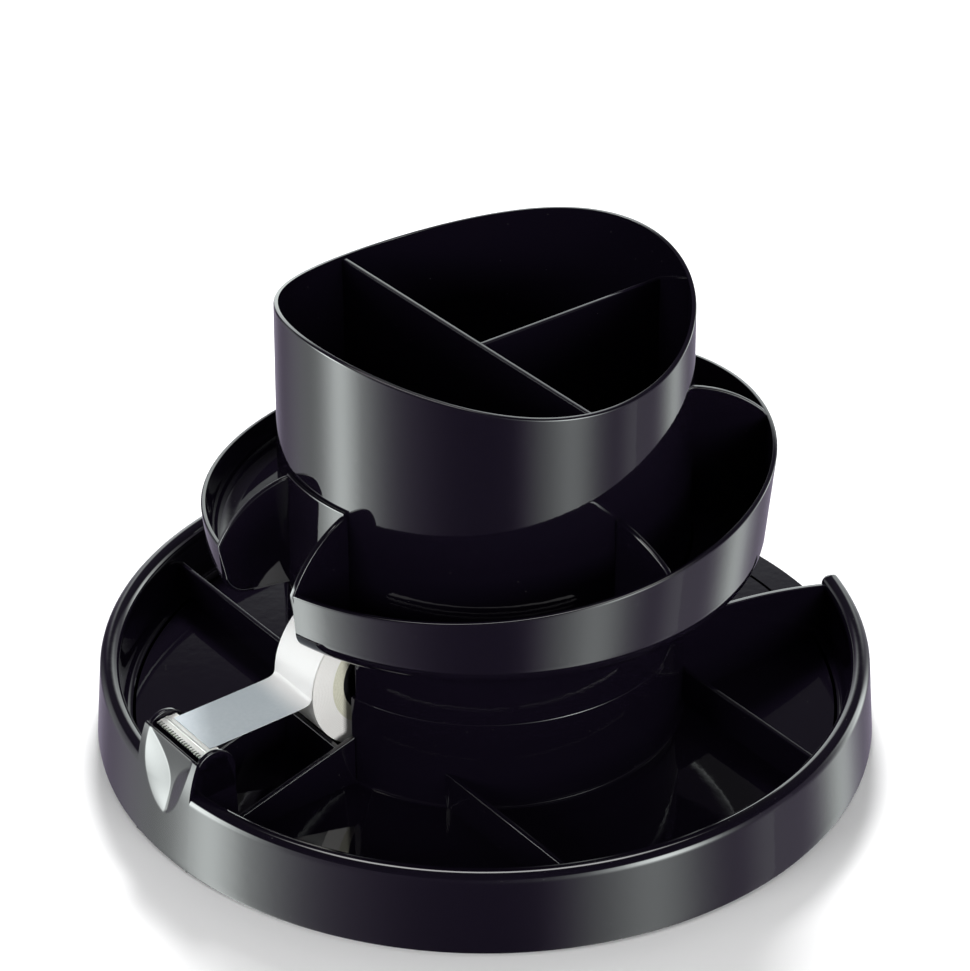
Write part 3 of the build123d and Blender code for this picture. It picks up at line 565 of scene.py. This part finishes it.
# side walls of the tape well, with an open slot for the axle
well_side = WELL_HALF + WEB / 2
for offset in (WELL_HALF, -WELL_HALF):
    low = sqrt(60.1**2 - well_side**2)
    high = sqrt(58.7**2 - well_side**2)
    slot = [(SPINDLE_OUT + SLOT_HALF, 44.5), (SPINDLE_OUT + SLOT_HALF, SPINDLE_HEIGHT)]
    slot += [(SPINDLE_OUT + SLOT_HALF * cos(-pi * k / 12), SPINDLE_HEIGHT + SLOT_HALF * sin(-pi * k / 12))
             for k in range(1, 12)]
    slot += [(SPINDLE_OUT - SLOT_HALF, SPINDLE_HEIGHT), (SPINDLE_OUT - SLOT_HALF, 44.5)]
    outline = [(20.3, 11.3), (low, 11.3), (low, 37.1), (high, 37.1), (high, 44.5)] + slot + [(20.3, 44.5)]
    plate(tray, outline, across_t(offset), WEB, 0.3)


# the cutter's head, its outer face scooped in two facets that meet in a point below
SCOOP_BOTTOM = 15.5
SCOOP_RADIUS = 118.65
FACE_TOP = 36.9
FACE_OUT = 113.8


def head_face(t, z):
    """How far out the head's outer face stands beside the point t at a height."""
    if z < LIP_HEIGHT:
        base = sqrt(skirt_at(z) ** 2 - t * t)
    else:
        u = (z - LIP_HEIGHT) / (FACE_TOP - LIP_HEIGHT)
        round_out = sqrt((LIP_RADIUS + LIP_TUBE) ** 2 - t * t)
        base = round_out + (FACE_OUT - round_out) * (0.35 * u + 0.65 * u * u)
    if not SCOOP_BOTTOM < z <= FACE_TOP:
        return base
    u = (z - SCOOP_BOTTOM) / (FACE_TOP - SCOOP_BOTTOM)
    chord = sqrt(SCOOP_RADIUS**2 - t * t * (1 - u)) + (FACE_OUT - SCOOP_RADIUS) * u
    chord -= 0.9 * sin(pi * u)
    depth = max(0.0, base - chord)
    spread = u * (2 - u)
    left = 1.5 - 12.5 * spread**0.5
    right = 1.5 + 9.8 * spread**0.62
    crease_left = max(left + 0.8, 1.75 - 12.7 * max(0.0, (u - 0.3) / 0.7) ** 2.4)
    crease_right = min(right - 0.8, 3.0 + 8.2 * max(0.0, (u - 0.25) / 0.65) ** 2.6)
    if t <= left or t >= right:
        return base
    part = 1.0
    if t < crease_left:
        part = min(part, (t - left) / max(crease_left - left, 0.3))
    if t > crease_right:
        part = min(part, (right - t) / max(right - crease_right, 0.3))
    return base - depth * part


head_rows = [1.15, 1.6, 3.0, 5.0, 8.0, 11.0, 13.5] + [15.0 + 0.35 * k for k in range(62)] + [36.6]
steps_t = 96
head_loops = []
for k in range(steps_t + 1):
    t = -HEAD_HALF + 2 * HEAD_HALF * k / steps_t
    inner_end = abs(t) > 12.0
    outer = [(head_face(t, z) + (-0.12 if z < 1.5 else 0.0), z) for z in head_rows]
    crown = [(113.68, 36.85), (113.5, 36.93), (113.3, 36.93), (113.12, 36.82), (113.0, 36.3), (112.9, 34.7),
             (110.6, 34.7), (110.45, 36.3), (110.2, 36.6), (104.3, 36.6), (103.8, 36.3), (101.2, 26.8),
             (100.3, 7.2), (100.3, 1.0), (102.1, 1.0), (102.1, 7.2), (103.0, 26.8), (105.3, 32.3),
             (111.8, 32.3), (113.4, 28.0), (115.0, 16.0), (117.6, 1.0), (119.3, 1.0)]
    if inner_end:
        crown[15:21] = [(102.1, 1.2), (104.0, 1.2), (106.0, 1.2), (110.0, 1.2), (112.0, 1.2), (114.0, 1.2)]
    head_loops.append([N * n + T * t + Vector((0, 0, z)) for n, z in outer + crown])
loft(tray, head_loops)
for sign in (1, -1):
    crown = curve_through((100.6, 30.3), (102.3, 35.9), (106.4, 38.7), 12)
    crown += curve_through((106.4, 38.7), (111.2, 38.0), (113.7, 35.3), 12)[1:]
    cheek = crown + [(114.2, 33.0), (116.0, 29.0), (116.6, 24.0), (101.0, 24.0)]
    plate(tray, cheek, across_t((HEAD_HALF - WEB / 2) * sign), WEB, 0.45)

gloss_black = moulded("gloss_black", (0.0042, 0.0030, 0.0068, 1.0), 0.03, 0.012, 0.0, 0.03, 0.2)
piece("lower_tray_body", tray, gloss_black, "carousel", ["lower_tray"])

# ---- pivot washer ----
# A plain steel washer between the pivot screw's head and the foot plate.
# It keeps the tray from lifting off.
dress(nodes["pivot_washer"], pressed_steel)

# ---- pivot screw ----
# A pan-head screw driven up into the tray's pivot through the washer.
# Zinc-plated steel with a cross recess.
plated_steel = metal("plated_steel", (0.60, 0.60, 0.58, 1.0), 0.18, 0.1)
dress(nodes["pivot_screw"], plated_steel)


# ---- middle tray ----
# A smaller tray with a wavy rim, radial dividers and a notch above the tape, moulded in glossy
# black polystyrene in one with the column that stands on the lower tray's hub.
# Four screws from below hold it.
SHELF_UNDER = 64.5
SHELF_FLOOR = 66.3
SHELF_RADIUS = 84.1
SHELF_RIM = 87.86
CORNER = 8.0
CORNER_TOP = 72.5
CUP_RADIUS = 61.0
CUP_RIM = 143.0


def shelf_rim(angle):
    """Height of the middle tray's rim at an azimuth in radians."""
    tilt = 9.985 * cos(angle + radians(15.3))
    return SHELF_RIM + tilt + 2.443 * cos(2 * (angle - radians(24.7)))


def shelf_at(height):
    """Outer radius of the middle tray's wall."""
    return SHELF_RADIUS + 0.083 * (height - CORNER_TOP)


def corner_arc(radius, steps):
    """The quarter round between the middle tray's floor and its wall."""
    return [(SHELF_RADIUS - CORNER + radius * sin(pi / 2 * k / steps),
             CORNER_TOP - radius * cos(pi / 2 * k / steps)) for k in range(steps + 1)]


def wall_at(depth, height):
    """Thickness of a moulded wall below its rim: it is drafted, so it thins towards the top."""
    return WALL - 0.42 * max(0.0, 1.0 - depth / min(16.0, height))


def rim_top(edge, rim):
    """The top of a wavy wall: a soft outer edge and a crisp inner one."""
    shape = ((0.04, 0.38), (0.16, 0.16), (0.36, 0.04), (0.6, 0.0), (1.22, 0.0), (1.33, 0.03), (1.38, 0.14))
    return [(edge - inwards, rim - down) for inwards, down in shape]


def cup_at(height):
    """Outer radius of the pen cup."""
    return CUP_RADIUS + 0.0125 * (CUP_RIM - height)


def bowl_profile(angle):
    """Half section of the bowl: rounded outer corner, wall, rounded rim, inner wall and floor."""
    rim = shelf_rim(angle)
    heights = [CORNER_TOP + (rim - 0.7 - CORNER_TOP) * k / 16 for k in range(1, 17)]
    outer = [(shelf_at(z), z) for z in heights]
    top = rim_top(shelf_at(rim), rim)
    inner = [(r - wall_at(rim - z, rim - CORNER_TOP), z) for r, z in reversed(outer)]
    inner += corner_arc(CORNER - WALL, 12)[::-1]
    return corner_arc(CORNER, 12) + outer + top + inner + [(61.6, SHELF_FLOOR), (61.6, SHELF_UNDER)]


shelf = bmesh.new()
half_notch = radians(12.9)
turn(shelf, bowl_profile, 320, TO_CUTTER + half_notch, TO_CUTTER + 2 * pi - half_notch)
turn(shelf, [(0.0, SHELF_FLOOR), (62.7, SHELF_FLOOR), (62.7, 64.8), (62.4, SHELF_UNDER), (0.0, SHELF_UNDER)],
     192)
turn(shelf, [(62.05, 64.6), (61.66, 101.0), (61.75, 101.35), (62.0, 101.5), (62.4, 101.5), (62.7, 101.35),
             (62.82, 101.0), (63.25, 64.6)], 24, TO_CUTTER - half_notch, TO_CUTTER + half_notch)


def divider_outline(inner_top, outer_top, reach_in, reach_out):
    """A divider's outline: its top falls in a curve from the cup's wall to the rim."""
    inner = cup_at(inner_top) - 1.0
    outer = shelf_at(outer_top)
    middle = ((inner + outer) / 2, inner_top - (inner_top - outer_top) / 4)
    top = [p for p in curve_through((inner, inner_top), middle, (outer, outer_top), 28)
           if cup_at(p[1]) + reach_in < p[0] < outer - reach_out]
    start = cup_at(top[0][1]) + reach_in
    end = outer - reach_out
    foot = [(start, 65.4)] + corner_arc(CORNER - WALL / 2, 6)
    return foot + [(end, outer_top - 1.5), (end, outer_top)] + top[-2:0:-1] + [(start, top[0][1])]


for azimuth, inner_top in ((307.5, 100.2), (127.5, 92.0), (8.0, 110.8), (67.0, 101.0)):
    angle = radians(azimuth)
    plate(shelf, divider_outline(inner_top, shelf_rim(angle) - 0.4, 0.15, 0.9), radial(angle), WEB, 0.4)
for sign in (1, -1):
    angle = TO_CUTTER + half_notch * sign
    plate(shelf, divider_outline(101.0, shelf_rim(angle), 0.15, 0.0), radial(angle), WEB, 0.4)

# the column between the hub and the bowl, and its four screw posts
well_gap = asin(14.9 / HUB_RADIUS)
turn(shelf, [(57.6, 34.2), (59.1, 34.2), (59.1, 37.3), (61.0, 37.3), (61.0, 63.9), (61.25, 64.6),
             (61.25, 65.4), (57.6, 65.4)], 220, TO_CUTTER + well_gap, TO_CUTTER + 2 * pi - well_gap)
for offset in (50.0, -50.0, 125.0, -125.0):
    centre = around(TO_CUTTER + pi + radians(offset), 54.8, 0.0)
    ring = [(3.6 * cos(2 * pi * k / 32), 3.6 * sin(2 * pi * k / 32)) for k in range(32)]
    loft(shelf, [[centre + Vector((x, y, z)) for x, y in ring] for z in (12.45, 65.0)])
piece("middle_tray_body", shelf, gloss_black, "carousel", ["middle_tray"])

# ---- column screws ----
# Four pan-head screws from under the hub's floor into the column's posts.
# Zinc-plated steel.
dress(nodes["column_screws"], plated_steel)


# ---- pen cup ----
# A tall cup with a wavy rim, slightly tapered, in the same glossy black polystyrene.
# It stands in the middle tray and three screws from below hold it.
CUP_FLOOR = 74.0
CUP_UNDER = 72.2
CUP_BOTTOM = 66.32


def cup_rim(angle):
    """Height of the cup's rim at an azimuth in radians."""
    return CUP_RIM + 6.57 * cos(2 * (angle - radians(37.5)))


def cup_profile(angle):
    """Half section of the cup: outer wall, rounded rim, inner wall and floor."""
    rim = cup_rim(angle)
    heights = [CUP_BOTTOM + (rim - 0.6 - CUP_BOTTOM) * k / 10 for k in range(11)]
    outer = [(cup_at(z), z) for z in heights]
    top = rim_top(cup_at(rim), rim)
    falls = [0.6 + (rim - 76.6) * k / 20 for k in range(21)]
    inner = [(cup_at(rim - d) - wall_at(d, rim - 75.0), rim - d) for d in falls]
    foot = [(59.7, 75.0), (59.3, 74.3), (58.6, CUP_FLOOR), (0.0, CUP_FLOOR), (0.0, CUP_UNDER),
            (60.15, CUP_UNDER), (60.15, CUP_BOTTOM)]
    return outer + top + inner + foot


cup = bmesh.new()
turn(cup, cup_profile, 320)
for offset in (0.0, 110.0, -110.0):
    centre = around(TO_CUTTER + pi + radians(offset), 40.0, 0.0)
    tube = [(3.2, 72.4), (3.2, 66.4), (1.25, 66.4), (1.25, 72.4)]
    loft(cup, [[centre + around(2 * pi * k / 32, r, z) for r, z in tube] for k in range(32)], wrap=True)
piece("pen_cup_body", cup, gloss_black, "carousel", ["pen_cup"])

# ---- cup divider ----
# A T-shaped insert with a level top that splits the cup into three compartments.
# Glossy black polystyrene, slid in from above.
INSERT_TOP = 136.0
MAIN_OFFSET = 8.2
BRANCH_OFFSET = 8.3
insert = bmesh.new()
insert_foot = CUP_FLOOR + 0.05
inner_radius = cup_at(105.0) - WALL
main_half = sqrt(inner_radius**2 - MAIN_OFFSET**2) - 0.05
plate(insert, [(-main_half, insert_foot), (main_half, insert_foot), (main_half, INSERT_TOP),
               (-main_half, INSERT_TOP)], across_n(MAIN_OFFSET), WEB, 0.4)
branch_end = -sqrt(inner_radius**2 - BRANCH_OFFSET**2) + 0.05
plate(insert, [(branch_end, insert_foot), (MAIN_OFFSET, insert_foot), (MAIN_OFFSET, INSERT_TOP),
               (branch_end, INSERT_TOP)], across_t(BRANCH_OFFSET), WEB, 0.4)
piece("cup_divider_body", insert, gloss_black, "carousel", ["cup_divider"])

# ---- cup screws ----
# Three small pan-head screws from under the middle tray into the cup's bosses.
# Zinc-plated steel.
dress(nodes["cup_screws"], plated_steel)

# ---- cutter blade ----
# A serrated strip of bright steel on the head's platform, its teeth over the groove.
# Stamped, with a ground edge, bonded down.
blade = bmesh.new()
TOOTH_COUNT = 19
BLADE_HALF = 11.5
BLADE_BACK = 104.5
TOOTH_ROOT = 110.1
TOOTH_TIP = 111.45
outline = [(BLADE_BACK, -BLADE_HALF), (TOOTH_ROOT, -BLADE_HALF)]
for k in range(TOOTH_COUNT):
    start = -BLADE_HALF + k * 2 * BLADE_HALF / TOOTH_COUNT
    outline += [(TOOTH_ROOT, start + 0.27), (TOOTH_TIP, start + 0.4), (TOOTH_TIP, start + 0.81),
                (TOOTH_ROOT, start + 0.94)]
outline += [(TOOTH_ROOT, BLADE_HALF), (BLADE_BACK, BLADE_HALF)]
loft(blade, [[N * n + T * t + Vector((0, 0, z)) for n, t in outline] for z in (36.62, 37.1)])
# the bead pressed across it for stiffness
bead = ((107.3, 36.9), (107.45, 37.2), (107.8, 37.42), (108.15, 37.42), (108.5, 37.2), (108.65, 36.9))
bead_ends = (0.1 - BLADE_HALF, BLADE_HALF - 0.1)
loft(blade, [[N * n + T * t + Vector((0, 0, z)) for n, z in bead] for t in bead_ends])
blade_steel = metal("blade_steel", (0.96, 0.95, 0.92, 1.0), 0.36, 0.25)
piece("cutter_blade_strip", blade, blade_steel, "carousel", ["cutter_blade"], 25.0)


# ---- tape strip ----
# The free end of the tape: clear polypropylene film with a matt face, 19 mm wide.
# It runs from the roll over the cross wall to the blade.
def build_film_group():
    """Matt film: fine mottle as a tone and a normal, and faint broad patches in the tone."""
    tree, given, out = node_group("matt_film", [("Mottle", "NodeSocketFloat", 0.08)],
                                  [("Tone", "NodeSocketFloat"), ("Normal", "NodeSocketVector")])
    place = node(tree, "ShaderNodeTexCoord").outputs["Object"]
    mottle = node(tree, "ShaderNodeTexNoise", {"Vector": place, "Scale": 900.0, "Detail": 3.0})
    broad = node(tree, "ShaderNodeTexNoise", {"Vector": place, "Scale": 70.0, "Detail": 2.0})
    tone = node(tree, "ShaderNodeMath", {0: mottle.outputs["Fac"], 1: broad.outputs["Fac"]},
                operation="MULTIPLY")
    bump = node(tree, "ShaderNodeBump", {"Height": mottle.outputs["Fac"], "Distance": 0.0001,
                                         "Strength": given.outputs["Mottle"]})
    tree.links.new(tone.outputs[0], out.inputs["Tone"])
    tree.links.new(bump.outputs["Normal"], out.inputs["Normal"])
    return tree


film_group = build_film_group()


def film(name, dark, light, roll_tone_and_painted_light, roughness, see_through):
    """A tape finish between two tones, turning to the wound film's own tone where it lies on the roll; past
    the roll that pale tone fades out by 81 mm as painted light on the shaded stretch.
    """
    made, tree, shader = new_material(name)
    skin = node(tree, "ShaderNodeGroup", node_tree=film_group)
    mix = node(tree, "ShaderNodeMix", {"Factor": skin.outputs["Tone"]}, data_type="RGBA")
    mix.inputs["A"].default_value = dark
    mix.inputs["B"].default_value = light
    place = node(tree, "ShaderNodeTexCoord").outputs["Object"]
    along = node(tree, "ShaderNodeVectorMath", {0: place}, operation="DOT_PRODUCT")
    along.inputs[1].default_value = (N.x, N.y, 0.0)
    # painted light: from the roll's surface out to 81 mm along N the strip keeps the roll's pale tone,
    # lightening the stretch that lies in shade
    free = node(tree, "ShaderNodeMapRange", {"Value": along.outputs["Value"], "From Min": 0.0705,
                                             "From Max": 0.081, "To Min": 0.0, "To Max": 1.0},
                interpolation_type="SMOOTHSTEP")
    tint = node(tree, "ShaderNodeMix", {"Factor": free.outputs["Result"]}, data_type="RGBA")
    tint.inputs["A"].default_value = roll_tone_and_painted_light
    tree.links.new(mix.outputs["Result"], tint.inputs["B"])
    tree.links.new(tint.outputs["Result"], shader.inputs["Base Color"])
    tree.links.new(skin.outputs["Normal"], shader.inputs["Normal"])
    shader.inputs["Roughness"].default_value = roughness
    shader.inputs["Transmission Weight"].default_value = see_through
    shader.inputs["IOR"].default_value = 1.3
    return made


STRIP_HALF = 9.5
strip = bmesh.new()
wrap_radius = 23.95
path = [(SPINDLE_OUT + wrap_radius * cos(radians(a)), SPINDLE_HEIGHT + wrap_radius * sin(radians(a)))
        for a in range(86, 1, -6)]
path += [(71.0, 39.2), (71.25, 38.5), (71.7, 37.95), (72.4, 37.55), (73.5, 37.3), (75.5, 37.18),
         (80.0, 37.15), (85.0, 37.14), (91.0, 37.12), (98.0, 37.11), (103.9, 37.1), (106.6, 37.1)]
loops = []
for k, (n, z) in enumerate(path):
    before = path[max(k - 1, 0)]
    after = path[min(k + 1, len(path) - 1)]
    run = hypot(after[0] - before[0], after[1] - before[1])
    out_n = -(after[1] - before[1]) / run
    out_z = (after[0] - before[0]) / run
    loops.append([N * (n + h * out_n) + T * t + Vector((0, 0, z + h * out_z)) for t, h in
                  ((-STRIP_HALF, 0.02), (0.0, 0.02), (STRIP_HALF, 0.02), (STRIP_HALF, 0.22), (0.0, 0.22),
                   (-STRIP_HALF, 0.22))])
loft(strip, loops)
# the third colour is the wound film's own tone on the roll and also painted light in the fade just off it
matt_film = film("matt_film_clear", (0.58, 0.65, 0.69, 1.0), (0.76, 0.81, 0.85, 1.0), (0.95, 0.95, 0.94, 1.0),
                 0.3, 0.1)
piece("tape_strip_film", strip, matt_film, "carousel", ["tape_strip"], 30.0)

# ---- spindle axle ----
# A turned steel pin that lies in the two slots of the tape well.
# The wheel runs on it.
dress(nodes["spindle_axle"], plated_steel)

# ---- spindle wheel ----
# A black plastic wheel that fills the roll's core and turns on the axle.
# Satin moulded plastic.
dress(nodes["spindle_wheel"], satin_black)


# ---- tape core ----
# The roll's core: wound pale paperboard.
# Its plies show as rings on the ends.
def paperboard(name, dark, light):
    """Paperboard wound round the spindle: plies as rings round its axis, fibres as fine noise."""
    made, tree, shader = new_material(name)
    place = node(tree, "ShaderNodeTexCoord").outputs["Object"]
    moved = node(tree, "ShaderNodeVectorMath", {0: place}, operation="SUBTRACT")
    moved.inputs[1].default_value = (N * SPINDLE_OUT + Vector((0, 0, SPINDLE_HEIGHT))) / 1000
    along = node(tree, "ShaderNodeVectorMath", {0: moved.outputs[0]}, operation="DOT_PRODUCT")
    along.inputs[1].default_value = (N.x, N.y, 0.0)
    parts = node(tree, "ShaderNodeSeparateXYZ", {"Vector": moved.outputs[0]})
    flat = node(tree, "ShaderNodeCombineXYZ", {"X": along.outputs["Value"], "Y": parts.outputs["Z"]})
    radius = node(tree, "ShaderNodeVectorMath", {0: flat.outputs["Vector"]}, operation="LENGTH")
    rings = node(tree, "ShaderNodeMath", {0: radius.outputs["Value"], 1: 12000.0}, operation="MULTIPLY")
    wave = node(tree, "ShaderNodeMath", {0: rings.outputs[0]}, operation="SINE")
    fibre = node(tree, "ShaderNodeTexNoise", {"Vector": place, "Scale": 1500.0, "Detail": 4.0})
    tone = node(tree, "ShaderNodeMath", {0: wave.outputs[0], 1: 0.2, 2: fibre.outputs["Fac"]},
                operation="MULTIPLY_ADD")
    mix = node(tree, "ShaderNodeMix", {"Factor": tone.outputs[0]}, data_type="RGBA")
    mix.inputs["A"].default_value = dark
    mix.inputs["B"].default_value = light
    bump = node(tree, "ShaderNodeBump", {"Height": tone.outputs[0], "Strength": 0.3, "Distance": 0.0002})
    tree.links.new(mix.outputs["Result"], shader.inputs["Base Color"])
    tree.links.new(bump.outputs["Normal"], shader.inputs["Normal"])
    shader.inputs["Roughness"].default_value = 0.85
    return made


core_board = paperboard("core_board", (0.58, 0.58, 0.45, 1.0), (0.80, 0.79, 0.66, 1.0))
dress(nodes["tape_core"], core_board)

# ---- tape roll ----
# The wound tape: many turns of the same film, whiter and denser than one layer.
# Its ends show the turns as fine rings.
wound_film = paperboard("wound_film", (0.90, 0.89, 0.86, 1.0), (0.97, 0.96, 0.93, 1.0))
wound_film.node_tree.nodes["Principled BSDF"].inputs["Roughness"].default_value = 0.35
dress(nodes["tape_roll"], wound_film)


# ---- stage ----
# A plain pale table and a studio with a bright back, and tall soft light banks low at the left,
# the right front and the right back, which the glossy walls mirror.
floor_mesh = bpy.data.meshes.new("floor")
size = 3.0
floor_mesh.from_pydata([(-size, -size, 0), (size, -size, 0), (size, size, 0), (-size, size, 0)], [],
                       [(0, 1, 2, 3)])
floor = bpy.data.objects.new("floor", floor_mesh)
bpy.context.scene.collection.objects.link(floor)
floor_finish, tree, shader = new_material("floor_finish")
place = node(tree, "ShaderNodeTexCoord").outputs["Object"]
fleck = node(tree, "ShaderNodeTexNoise", {"Vector": place, "Scale": 4.0, "Detail": 2.0})
mix = node(tree, "ShaderNodeMix", {"Factor": fleck.outputs["Fac"]}, data_type="RGBA")
mix.inputs["A"].default_value = (0.86, 0.86, 0.87, 1.0)
mix.inputs["B"].default_value = (0.90, 0.90, 0.90, 1.0)
tree.links.new(mix.outputs["Result"], shader.inputs["Base Color"])
shader.inputs["Roughness"].default_value = 0.8
floor.data.materials.append(floor_finish)
floor.visible_glossy = False

world = bpy.data.worlds.new("studio")
bpy.context.scene.world = world
world.use_nodes = True
sky = world.node_tree
background = sky.nodes["Background"]
where = node(sky, "ShaderNodeTexCoord").outputs["Generated"]
parts = node(sky, "ShaderNodeSeparateXYZ", {"Vector": where})
heading = node(sky, "ShaderNodeMath", {0: parts.outputs["Y"], 1: parts.outputs["X"]},
               operation="ARCTAN2")
turns = node(sky, "ShaderNodeMath", {0: heading.outputs[0], 1: 1 / (2 * pi), 2: 1.0},
             operation="MULTIPLY_ADD")
turns = node(sky, "ShaderNodeMath", {0: turns.outputs[0]}, operation="FRACT")
BANK_PEAK = 15.0


def bank_ramp(levels):
    """Light round the horizon, from (azimuth in degrees, level) pairs; dim parts lean to purple."""
    banks = node(sky, "ShaderNodeValToRGB", {"Fac": turns.outputs[0]})
    ramp = banks.color_ramp
    ramp.interpolation = "B_SPLINE"
    while len(ramp.elements) > 1:
        ramp.elements.remove(ramp.elements[-1])
    for k, (azimuth, level) in enumerate(levels):
        stop = ramp.elements[0] if k == 0 else ramp.elements.new(azimuth / 360.0)
        stop.position = azimuth / 360.0
        value = level / BANK_PEAK
        dim = max(0.0, 1.0 - level / 0.9)
        tint = (0.94 + 0.14 * dim, 1.0 - 0.12 * dim, 0.98 + 0.34 * dim)
        stop.color = [value * part for part in tint] + [1.0]
    scaled = node(sky, "ShaderNodeVectorMath", {0: banks.outputs["Color"]}, operation="SCALE")
    scaled.inputs["Scale"].default_value = BANK_PEAK
    return scaled.outputs["Vector"]


def ease(value, start, end):
    """A smooth step from 0 to 1 between two values."""
    return node(sky, "ShaderNodeMapRange", {"Value": value, "From Min": start, "From Max": end,
                                            "To Min": 0.0, "To Max": 1.0},
                interpolation_type="SMOOTHSTEP").outputs["Result"]


def product(a, b):
    """Two values multiplied."""
    return node(sky, "ShaderNodeMath", {0: a, 1: b}, operation="MULTIPLY").outputs[0]


def blend(factor, a, b):
    """From one colour or value to another."""
    mixed = node(sky, "ShaderNodeMix", {"Factor": factor}, data_type="RGBA")
    for label, value in (("A", a), ("B", b)):
        if isinstance(value, bpy.types.NodeSocket):
            sky.links.new(value, mixed.inputs[label])
        else:
            mixed.inputs[label].default_value = value
    return mixed.outputs["Result"]


level_z = parts.outputs["Z"]
level_y = parts.outputs["Y"]
low = bank_ramp([
    (0, 0.48), (12, 0.32), (20, 0.55), (28, 1.35), (36, 1.95), (46, 0.6), (58, 0.2), (90, 0.35), (115, 0.3),
    (128, 0.18), (144, 0.5), (160, 0.9), (169, 1.4), (177, 3.2), (184, 5.6), (191, 5.0), (200, 2.2),
    (216, 0.6), (232, 0.24), (250, 0.06), (270, 0.04), (284, 0.05), (292, 0.28), (300, 0.85), (308, 1.4),
    (317, 2.2), (325, 1.6), (333, 0.7), (342, 0.28), (349, 0.35), (355, 0.6)])
high = bank_ramp([
    (0, 0.2), (12, 0.25), (22, 1.0), (32, 4.5), (38, 5.5), (46, 1.0), (55, 0.2), (66, 1.0), (77, 2.7),
    (104, 2.4), (113, 0.35), (122, 0.02), (132, 0.08), (144, 0.95), (156, 0.5), (168, 1.6), (176, 6.0),
    (183, 14.0), (191, 14.0), (199, 6.5), (207, 2.6), (216, 0.7), (228, 0.3), (255, 0.04), (281, 0.1),
    (296, 1.0), (306, 5.0), (314, 12.0), (321, 12.0), (329, 6.0), (337, 1.0), (346, 0.3)])
banks = blend(ease(level_z, -0.5, -0.08), low, high)
ceiling = node(sky, "ShaderNodeMapRange", {"Value": level_y, "From Min": 0.1, "From Max": 0.9,
                                           "To Min": 0.02, "To Max": 0.06}).outputs["Result"]
behind = node(sky, "ShaderNodeMath", {0: ease(level_y, 0.6, 0.85), 1: -0.15, 2: level_z},
              operation="MULTIPLY_ADD").outputs[0]
mirrored = blend(ease(behind, 0.24, 0.43), banks, ceiling)
aside = node(sky, "ShaderNodeMath", {0: parts.outputs["X"]}, operation="ABSOLUTE").outputs[0]
overhead = product(product(ease(level_y, 0.12, 0.22), ease(level_y, 0.5, 0.38)), ease(level_z, 0.8, 0.9))
overhead = product(overhead, ease(aside, 0.34, 0.2))
mirrored = blend(overhead, mirrored, (7.0, 7.0, 7.0, 1.0))
plain = node(sky, "ShaderNodeMapRange", {"Value": level_y, "From Min": -0.6, "From Max": 0.4,
                                         "To Min": 0.17, "To Max": 0.63}).outputs["Result"]
ray = node(sky, "ShaderNodeLightPath")
seen = blend(ray.outputs["Is Glossy Ray"], plain, mirrored)
sky.links.new(seen, background.inputs["Color"])
background.inputs["Strength"].default_value = 1.0
bpy.context.scene.view_settings.view_transform = "Standard"


def soft_light(name, place, aim, size_x, size_y, power):
    """A rectangular soft light aimed at a point."""
    data = bpy.data.lights.new(name, "AREA")
    data.shape = "RECTANGLE"
    data.size = size_x
    data.size_y = size_y
    data.energy = power
    light = bpy.data.objects.new(name, data)
    light.location = place
    light.rotation_euler = (Vector(aim) - Vector(place)).to_track_quat("-Z", "Y").to_euler()
    light.visible_glossy = False
    bpy.context.scene.collection.objects.link(light)


soft_light("back_top", (0.0, 0.95, 0.98), (0.0, 0.0, 0.0), 0.34, 0.3, 26.0)
soft_light("left_low", (-0.95, -0.75, 0.55), (-0.04, -0.03, 0.04), 0.5, 0.4, 7.0)
soft_light("right_low", (0.6, -0.95, 0.36), (-0.03, -0.03, 0.04), 0.5, 0.4, 8.5)
